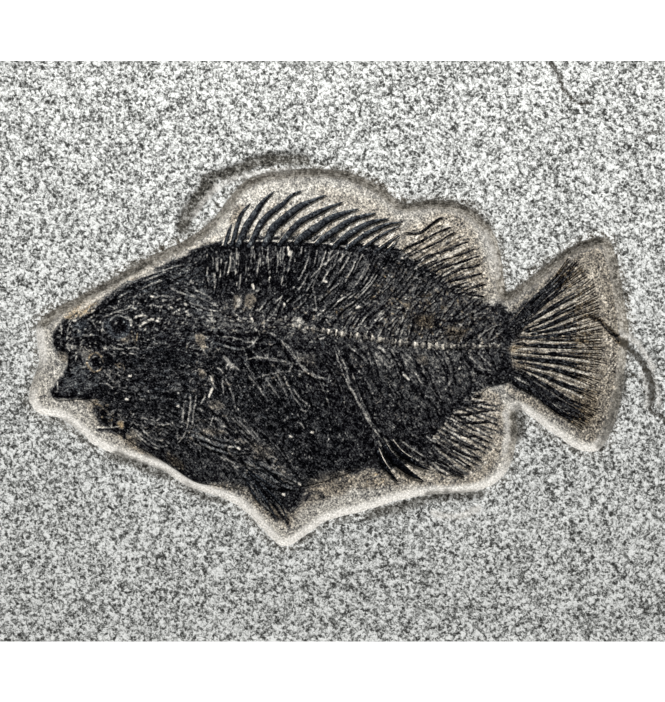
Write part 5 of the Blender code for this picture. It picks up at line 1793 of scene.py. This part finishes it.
        Thatch([(2,23.6), (17.9,21.5), (41.7,11.4), (44.4,1.9), (17.9,3.4), (-0.7,7.7)], 30, 60, 70, 1.0,
            0.34, (RUST, OLIVE, DUN, BLACK), 239, 0.14),
    )


@dataclass
class FinFields:
    """What is drawn between the rays of the fins."""

    marks: tuple = (
        Thatch([(18.9,30.5), (28.5,36.3), (36.4,33.1), (41.2,20.9), (41.2,13.5), (32.5,16.2), (24.5,23.6)],
            22, 14, 420, 1.3, 0.14, MATRIX, 406, 0.1),
        Thatch([(38.6,-9.8), (44.4,-12.5), (45.2,-23.6), (39.1,-33.7), (25.8,-35.2), (15.8,-35.2),
            (16.8,-30.5), (28.5,-20.9)], -18, 16, 520, 1.3, 0.14, MATRIX, 407, 0.1),
        Comb([(17.9,26.8), (25.8,21.5), (36.4,14.6)], [(29,34.2), (37.5,27.3), (41.2,16.2)], 22, 0.24, (SOIL,
            PALE), 0.02, 0.3, 0.4, 401, 0.14),
        Comb([(15.2,24.1), (24.5,19.9), (35.4,13.5)], [(22.1,27.8), (30.6,23.6), (40.1,15.1)], 14, 0.2,
            DARK_PALE, 0.02, 0.3, 0.5, 402, 0.16),
        Comb([(36.4,-13), (31.7,-17.2), (27.4,-23.1), (21.1,-26.8)], [(44.4,-15.1), (43.3,-24.1),
            (37.5,-32.1), (30.1,-33.7)], 19, 0.26, (BONE, PALE), -0.03, 0.3, 0.35, 403, 0.14),
        Comb([(34.3,-11.9), (29.5,-16.2), (24.8,-20.9), (17.9,-22.5)], [(40.1,-13.5), (36.4,-19.3),
            (32.2,-26.2), (25.8,-29.4)], 12, 0.22, DARK_PALE, -0.03, 0.3, 0.4, 404, 0.16),
        Comb([(47.6,7.7), (48.1,0.8), (47,-6.6)], [(66.1,25.2), (73.5,0.8), (67.7,-20.4)], 82, 0.14, (SOIL,
            PALE), 0.02, 0.5, 0.35, 405, 0.12),
        Patch(BONE, [(13.6,-23.6), (17.9,-22), (25.3,-24.1), (29,-27.8), (25.3,-30.5), (18.9,-28.9)], 1.8,
            0.6),
        Patch(RUST, [(64.5,-10.9), (70.9,-12.5), (69.3,-18.8), (66.1,-19.9), (63.5,-16.2)], 2.0, 0.35),
        Patch(OCHRE, [(47,1.3), (49.7,1.3), (49.4,0.3), (47,0)], 1.2, 0.5),
        Patch(BONE, [(44.4,6.9), (48.6,8.7), (55,15.1), (60.3,20.4), (64,23.6), (62.9,19.9), (56.3,13),
            (50.7,6.1), (46.5,1.6)], 1.6, 0.8),
        Patch(BONE, [(44.4,-2.9), (47.6,-4), (53.7,-7.7), (60.3,-12.5), (66.6,-16.7), (65.1,-18.3),
            (56.3,-13.5), (48.4,-9.8), (44.4,-7.2)], 1.6, 0.8),
        Lines(PALE, 0.18, 0.24, -0.05, [
            [(49.7,6.9), (56.3,13.5), (60.3,17.5)], [(57.1,17), (59.8,19.3), (62.9,21.5)],
            [(52.3,7.7), (57.6,9.5), (64.3,11.7)], [(56.3,6.9), (61.6,8.2), (65.6,9.3)],
            [(49.7,4.8), (55,4.8), (61.6,5.3), (66.9,6.4)], [(49.7,2.7), (57.6,2.4), (68.2,2.9)],
            [(49.7,0.5), (60.3,0.5), (68.2,0.3)], [(55,-1.6), (64.3,-2.1), (68.2,-2.9)],
            [(52.9,-2.9), (55.5,-3.2)], [(57.6,-3.7), (61.6,-4.5), (68.2,-6.4)],
            [(58.2,-5.6), (60.3,-6.6), (64.3,-7.7), (68.2,-9.3)],
            [(56.3,-6.4), (59,-8), (63.5,-10.9), (66.9,-12.5)],
            [(53.7,-10.9), (57.6,-13.5), (61.6,-16.2), (66.9,-19.1)], [(48.4,-6.9), (52.3,-9)],
        ], 0.85),
        # The crack across the tail: a brown band along it, and a dark core that paints the shade inside the
        # crack.
        Lines(RUST, 0.35, 1.0, -0.2, [[(66.6,9.5), (68.8,9), (70.9,8), (73.5,5.6), (75.7,3.4), (77.8,1.6)]],
            0.85),
        Lines(BONE, 0.2, 0.55, -0.2, [[(67.7,9.3), (70.9,7.7), (73.5,5.3), (76.2,2.9)]], 0.6),
        Lines(PALE, 0.16, 0.2, 0.0, [
            [(17.9,29.7), (21.1,31), (23.2,32.3)], [(18.9,27.8), (22.7,29.7), (26.4,31.8), (29.5,33.1)],
            [(22.7,25.7), (26.9,27.8), (31.1,29.9), (34.8,31)],
            [(25.3,23.6), (29.5,25.2), (33.8,27), (37,28.1)],
            [(28.5,21.2), (32.7,22.8), (37,24.1), (40.1,25.2)],
        ], 0.5),
        Lines(CREAM, 0.2, 0.12, 0.1, [
            [(13.6,-23.1), (15,-25.2), (16.8,-27.6), (18.9,-29.2)],
            [(12.1,-23.9), (13.6,-26.2), (14.7,-27.8)],
            [(15.8,-23.6), (17.9,-26.2), (21.1,-28.1), (24.2,-29.7)],
            [(17.9,-23.6), (21.1,-26), (24.8,-28.4)],
        ], 0.8),
    )


# Fins, backbone and stage

@dataclass
class SpinyFins:
    """The stout spines of the back fin and of the anal fin.

    Attributes:
        finish: their material.
        back: course and half width of each spine of the back fin.
        anal: the same for the anal fin.
    """

    finish: bpy.types.Material
    back: tuple = (
        ([(-28.8,27.3), (-28.2,29.4), (-27.4,32.1), (-26.6,34.2)], 0.5),
        ([(-27.2,27), (-26.4,29.4), (-25.3,33.4), (-24,36.8), (-21.6,39.5)], 0.6),
        ([(-25.6,27), (-24.5,29.4), (-22.9,33.1), (-20.3,37.1), (-18.2,40), (-15.2,42.7)], 0.9),
        ([(-22.7,26.8), (-21.1,29.7), (-19.2,33.7), (-16.6,36.6), (-13.1,39.2), (-10.7,41.6), (-7.8,42.7)],
            0.8),
        ([(-18.7,27), (-17.4,29.4), (-15.8,32.6), (-12.6,35.5), (-9.1,38.2), (-5.4,40), (-1.5,41.6)], 1.0),
        ([(-14.7,27.3), (-12.9,29.7), (-9.1,33.9), (-6,35.8), (-0.9,38.2), (3.3,39.8)], 0.8),
        ([(-10.2,27.8), (-8.1,30.2), (-4.1,32.9), (-0.7,35.2), (4.4,37.1), (7.3,37.9)], 1.0),
        ([(-4.9,27.6), (-2.8,29.7), (0.7,32.1), (4.4,34.5), (7.8,35.8), (12.1,36.8)], 0.85),
        ([(-0.4,26.8), (1.5,28.6), (3.8,30.5), (7.8,33.1), (11.3,34.5), (15.2,35.2)], 0.85),
        ([(3,26.5), (5.2,28.4), (9.4,31.3), (14.7,33.7), (18.7,34.2)], 0.65),
        ([(6.2,25.7), (8.9,27.8), (13.9,31.3), (18.4,33.4)], 0.4),
        ([(9.9,25.2), (14.7,28.6), (18.4,31)], 0.3), ([(12.6,24.4), (15.8,27.6), (17.9,29.9)], 0.26),
    )
    anal: tuple = (
        ([(11.5,-25.7), (13.1,-29.4), (15.2,-32.3), (17.6,-35)], 0.62),
        ([(13.4,-24.6), (15.8,-28.4), (18.7,-31), (21.3,-32.9), (24.2,-34.5)], 0.95),
        ([(15.2,-23.6), (17.9,-27), (21.1,-29.2), (23.7,-30.7), (26.1,-31.8)], 0.7),
    )

    def build(self) -> None:
        """Model both sets of spines and place them, each with a pale sliver beside its root."""
        for name, spines, level, sheen in (("dorsal_spine", self.back, FLOOR + 0.5, 0.27),
                                           ("anal_spine", self.anal, FLOOR + 0.75, 0.05)):
            bones = BoneSet(10, 0.04)
            for line, radius in spines:
                bones.add(Bone(line, (radius * 0.85, radius * 1.1, radius * 0.85, 0.14), level, 0.9, sheen,
                               0.0))
                bones.add(Bone(side_step(line[:3], radius * 0.5 + 0.4, 0.7), (0.14, 0.18, 0.1), level - 0.3,
                               0.8, 0.85, 0.6, 0.2, 0.0))
            nodes = tuple(node for node in sorted(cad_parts) if node.startswith(name))
            bones.build(name + "s", self.finish, nodes)


@dataclass
class SoftFins:
    """The thin rays of the soft fins and of the tail.

    Attributes:
        finish: their material.
        level: height of their middle line.
        back: rays of the soft part of the back fin.
        anal: rays of the anal fin.
        pelvic: rays of the pelvic fin.
        tail: course and half width of each ray of the tail.
    """

    finish: bpy.types.Material
    level: float = RAY_LEVEL
    back: tuple = (
        [(19.2,31.5), (22.9,31.3), (25.3,32.9), (28,35), (29.8,35.5)],
        [(18.4,26.5), (20.3,27.8), (23.7,29.2), (28,31.5), (31.7,33.1)],
        [(22.9,26.5), (25.6,27.8), (28.8,29.2), (30.9,30.7), (33.3,31.8)],
        [(21.1,23.9), (23.7,24.1), (26.9,25.7), (30.3,26.8), (34.1,28.4), (36.4,29.2)],
        [(23.7,21.7), (26.9,23.1), (30.3,24.4), (32.5,25.2), (35.6,26.2), (38,27.3)],
        [(26.1,20.1), (29,22), (32.5,23.1), (35.6,24.1), (39.4,25.4)],
        [(28.2,19.1), (30.6,20.1), (34.1,21.7), (37.2,22.3), (39.6,23.3)],
        [(29.8,17.8), (32.5,18.8), (35.6,19.6), (40.1,20.7)],
        [(30.3,17.5), (34.1,17), (37.2,17), (41.2,17.8)], [(31.7,15.9), (34.8,15.4), (38,14.8), (40.9,14.3)],
    )
    anal: tuple = (
        [(35.4,-12.7), (37.5,-12.2), (40.1,-11.9)], [(33.8,-14.6), (36.4,-13.8), (41.2,-13.5)],
        [(32.2,-16.7), (35.1,-17), (38,-16.4), (42.3,-15.6)],
        [(32.7,-18.8), (37.5,-19.1), (41.2,-18.8), (42.8,-19.1)],
        [(31.7,-21.2), (35.6,-22.5), (37.5,-22.5), (40.1,-23.6), (42,-24.4)],
        [(30.1,-22.8), (34.1,-24.6), (36.7,-25.7), (39.4,-26.2)],
        [(28.5,-23.9), (32.2,-26), (34.8,-27.3), (37,-28.1), (39.6,-28.4)],
        [(28.5,-26.2), (33.3,-28.6), (35.6,-30.2), (37.2,-31)],
        [(26.4,-27.6), (30.1,-30.2), (32.2,-31.8), (35.1,-33.1)],
        [(27.4,-29.9), (30.6,-31.5), (33.3,-32.9), (35.4,-33.7)],
    )
    pelvic: tuple = (
        [(-25,-26.8), (-19.7,-30.5), (-15,-33.7), (-11.3,-36.8)],
        [(-24.5,-28.9), (-18.7,-31.8), (-12.6,-34.5)], [(-23.7,-30.5), (-18.7,-34.2), (-13.9,-37.4)],
        [(-22.9,-31.5), (-18.7,-35.8), (-14.4,-40), (-12.1,-44.3)],
        [(-22.4,-33.1), (-19.7,-36.8), (-17.1,-40.8), (-15,-44.5)],
        [(-23.2,-33.7), (-21.3,-37.4), (-18.7,-41.3)], [(-21.3,-29.4), (-15.2,-32.1), (-8.6,-35)],
    )
    tail: tuple = (
        ([(47,6.1), (49.7,9.5), (53.7,14), (57.6,17.5), (60.3,20.1), (63.7,24.1)], 0.42),
        ([(47.8,5.8), (52.3,10.6), (57.6,15.6), (61.9,19.3), (65.9,23.1)], 0.4),
        ([(48.4,5.3), (52.3,9.3), (57.6,13.8), (62.4,17.5), (67.2,20.9)], 0.38),
        ([(49.2,5.6), (55,9.5), (60.3,12.7), (65.1,15.4), (69.3,18.3)], 0.4),
        ([(50.2,5.3), (56.3,8), (60.3,10.1), (65.1,12.5), (70.4,15.4)], 0.34),
        ([(51,5), (56.3,6.4), (60.3,8.2), (65.1,10.3), (70.9,12.7)], 0.4),
        ([(52.3,4.2), (60.3,6.1), (65.6,7.7), (71.4,9.8)], 0.38),
        ([(51.8,3.4), (60.3,4.2), (65.6,5), (71.7,6.4)], 0.42),
        ([(48.4,1.9), (57.6,1.3), (65.6,1.3), (71.9,1.6)], 0.44),
        ([(49.2,3.7), (56.3,3.2), (64.3,3.4), (71.4,4)], 0.36),
        ([(51.8,-0.5), (60.3,-0.8), (66.9,-1.3), (71.7,-1.9)], 0.42),
        ([(47.6,-1.6), (55,-2.4), (60.3,-2.9), (65.6,-4), (70.9,-4.8)], 0.5),
        ([(48.4,-2.9), (55,-4.2), (60.3,-5.3), (65.6,-6.9), (70.9,-9)], 0.44),
        ([(49.2,-4), (56.3,-6.6), (61.6,-9), (66.9,-10.9), (70.9,-12.5)], 0.46),
        ([(48.6,-4.5), (53.7,-7.2), (58.2,-10.1), (62.9,-13.2), (66.9,-15.1), (70.1,-16.7)], 0.42),
        ([(48.1,-5.3), (52.9,-8.5), (57.6,-11.7), (62.4,-14.6), (66.1,-16.7), (68.8,-18.3)], 0.4),
        ([(46.5,-6.1), (49.7,-9), (53.7,-10.9), (57.1,-13.8), (60.3,-16.2), (64.3,-18.3), (67.2,-20.1)],
            0.52),
    )

    def build(self) -> None:
        """Model the rays and place them."""
        rays = BoneSet(6, 0.1)
        for line in self.back + self.anal:
            rays.add(Bone(line, (0.24, 0.38, 0.36, 0.22), self.level, 0.8, 0.1, 0.0, 0.2, 0.3))
        for line in self.pelvic:
            rays.add(Bone(line, (0.34, 0.34, 0.2), self.level + 0.05, 0.8, 0.16, 0.0, 0.0, 0.8))
        rays.build("soft_fin_rays", self.finish)
        tail = BoneSet(6, 0.1)
        for line, radius in self.tail:
            stem = line[:-1]
            for turn in (-1, 1):
                tail.add(Bone(side_step(stem, 0.08 * turn, 0.4 * turn),
                              (radius * 0.7, radius * 0.85, radius * 0.6),
                              self.level, 0.8, 0.12, 0.0, 0.1, 0.5))
                for fork in (0.2, 0.9):
                    twig = side_step(line[-3:], (0.3 + 0.1 * fork) * turn, (0.3 + fork) * turn)
                    tail.add(Bone(twig, (0.17, 0.18, 0.12), self.level - 0.05, 0.7, 0.14, 0.02, 0.8, 0.0),
                             0.45, 7)
        tail.build("tail_rays", self.finish)


@dataclass
class Backbone:
    """The chain of vertebrae.

    Attributes:
        finish: its material.
        line: its course.
        count: how many vertebrae it has.
        girth: half width at a vertebra's waist.
    """

    finish: bpy.types.Material
    line: tuple = tuple(BACKBONE)
    count: int = 38
    girth: float = 0.5

    def build(self) -> None:
        """Model the vertebrae and place them."""
        bones = BoneSet(10, 0.17)
        line = smooth(list(self.line), 0.4)
        place = np.linspace(0, 1, len(line))
        waist = self.girth + 0.55 * np.abs(np.cos(math.pi * self.count * place)) ** 1.5
        waist *= (0.45 + 0.55 * ease(place, 0.1, 0.4)) * (1 + 0.2 * Grain(51, 1.7, 2)(place * 70, place))
        bones.add(Bone([tuple(spot) for spot in line], tuple(waist), FLOOR + 0.76, 0.5, 0.38, 0.05, 0.22,
                       0.15, 0.4), 0.4, self.count)
        bones.build("backbone_bones", self.finish, ("backbone",))


@dataclass
class Studio:
    """Camera, light and floor.

    Attributes:
        view_height: height that the camera sees at the slab's face.
        lens: focal length.
        sensor: long side of the film.
        lamp_reach: distance of the lamp.
        lamp_tilt: its height above the slab's face in degrees.
        lamp_size: its width in metres.
        lamp_power: its power in watts.
        room: brightness of the surroundings.
    """

    view_height: float = 186.03
    lens: float = 100.0
    sensor: float = 36.0
    lamp_reach: float = 500.0
    lamp_tilt: float = 45.0
    lamp_size: float = 0.12
    lamp_power: float = 3.05
    room: float = 0.27

    def build(self) -> None:
        """Set the stage."""
        scene = bpy.context.scene
        camera = bpy.data.objects.new("camera", bpy.data.cameras.new("camera"))
        camera.data.lens = self.lens
        camera.data.sensor_width = self.sensor
        camera.data.clip_start = 0.01
        camera.data.clip_end = 10.0
        camera.location = (0, 0, (FACE + self.view_height * self.lens / self.sensor) * MM)
        scene.collection.objects.link(camera)
        scene.camera = camera
        scene.view_settings.view_transform = "Standard"
        data = bpy.data.lights.new("lamp", "AREA")
        data.shape = "DISK"
        data.size = self.lamp_size
        data.energy = self.lamp_power
        lamp = bpy.data.objects.new("lamp", data)
        tilt = math.radians(self.lamp_tilt)
        reach = self.lamp_reach * MM
        lamp.location = (0, reach * math.cos(tilt), FACE * MM + reach * math.sin(tilt))
        lamp.rotation_euler = (tilt - math.pi / 2, 0, 0)
        scene.collection.objects.link(lamp)
        world = bpy.data.worlds.new("room")
        world.use_nodes = True
        backdrop = world.node_tree.nodes["Background"]
        backdrop.inputs["Color"].default_value = WHITE
        backdrop.inputs["Strength"].default_value = self.room
        scene.world = world
        self.floor(scene)

    def floor(self, scene: bpy.types.Scene) -> None:
        """Lay a pale table top.

        Args:
            scene: the scene.
        """
        shape = bmesh.new()
        bmesh.ops.create_grid(shape, x_segments=1, y_segments=1, size=1.5)
        mesh = bpy.data.meshes.new("floor")
        shape.to_mesh(mesh)
        shape.free()
        book = NodeBook("pale_floor")
        for name, value in (("Base Color", (0.9, 0.9, 0.9, 1.0)), ("Roughness", 0.9),
                            ("Emission Color", WHITE), ("Emission Strength", 0.8)):
            book.shader.inputs[name].default_value = value
        mesh.materials.append(book.material)
        floor = bpy.data.objects.new("floor", mesh)
        scene.collection.objects.link(floor)


def draw_all(canvas: Canvas) -> None:
    """Draw every mark of the fish.

    Args:
        canvas: the lattice to draw into.
    """
    for loop, lean in LEANS:
        canvas.set_lean(loop, lean)
    for group, shaded in ((Ground(), False), (Body(), True), (Head(), True), (FinFields(), False)):
        canvas.shaded = shaded
        for mark in group.marks:
            canvas.draw(mark)


def main() -> None:
    """Build the stage and every piece in order."""
    Studio().build()
    canvas = Canvas()
    draw_all(canvas)
    stone = Limestone().build()
    bone = Fossil("fossil_bone").build()
    web = Fossil("fin_membrane", 0.46, 1.45, 0.0).build()
    Slab(stone, canvas).build()
    for plate in (
            Plate("skull_bones", "skull", [NAPE_SEAM, CHEEK_SEAM, MOUTH_LINE], [SKULL_OUTER], PLATE_TOP,
                  PLATE_BRINK),
            Plate("gill_cover_bones", "gill_cover", [COVER_REAR, COVER_FRONT, CHEEK_SEAM], [], COVER_TOP,
                  PLATE_BRINK),
            Plate("lower_jaw_bones", "lower_jaw", [THROAT_SEAM, COVER_FRONT, MOUTH_LINE], [JAW_OUTER],
                  PLATE_TOP, PLATE_BRINK),
            Plate("trunk_bones", "trunk",
                  [PELVIC_SEAM, ANAL_SEAM, TAIL_SEAM, DORSAL_SEAM, NAPE_SEAM, COVER_REAR, THROAT_SEAM],
                  [BELLY, BELLY_REAR, STALK_UNDER, STALK_BACK, BACK], PLATE_TOP, PLATE_BRINK)):
        plate.build(canvas, bone, "fossil_bone")
    for name, seam, edge in (("soft_dorsal", DORSAL_SEAM, SOFT_DORSAL_EDGE),
                             ("soft_anal", ANAL_SEAM, SOFT_ANAL_EDGE),
                             ("tail", TAIL_SEAM, TAIL_EDGE), ("pelvic", PELVIC_SEAM, PELVIC_EDGE)):
        plate = Plate(f"{name}_web", f"{name}_fin", [seam], [edge], WEB_TOP, WEB_BRINK)
        plate.build(canvas, web, "fin_membrane")
    Backbone(bone).build()
    SpinyFins(Fossil("fin_spine", 0.5, 0.6, 0.0).build()).build()
    SoftFins(bone).build()


if __name__ == "__main__":
    main()
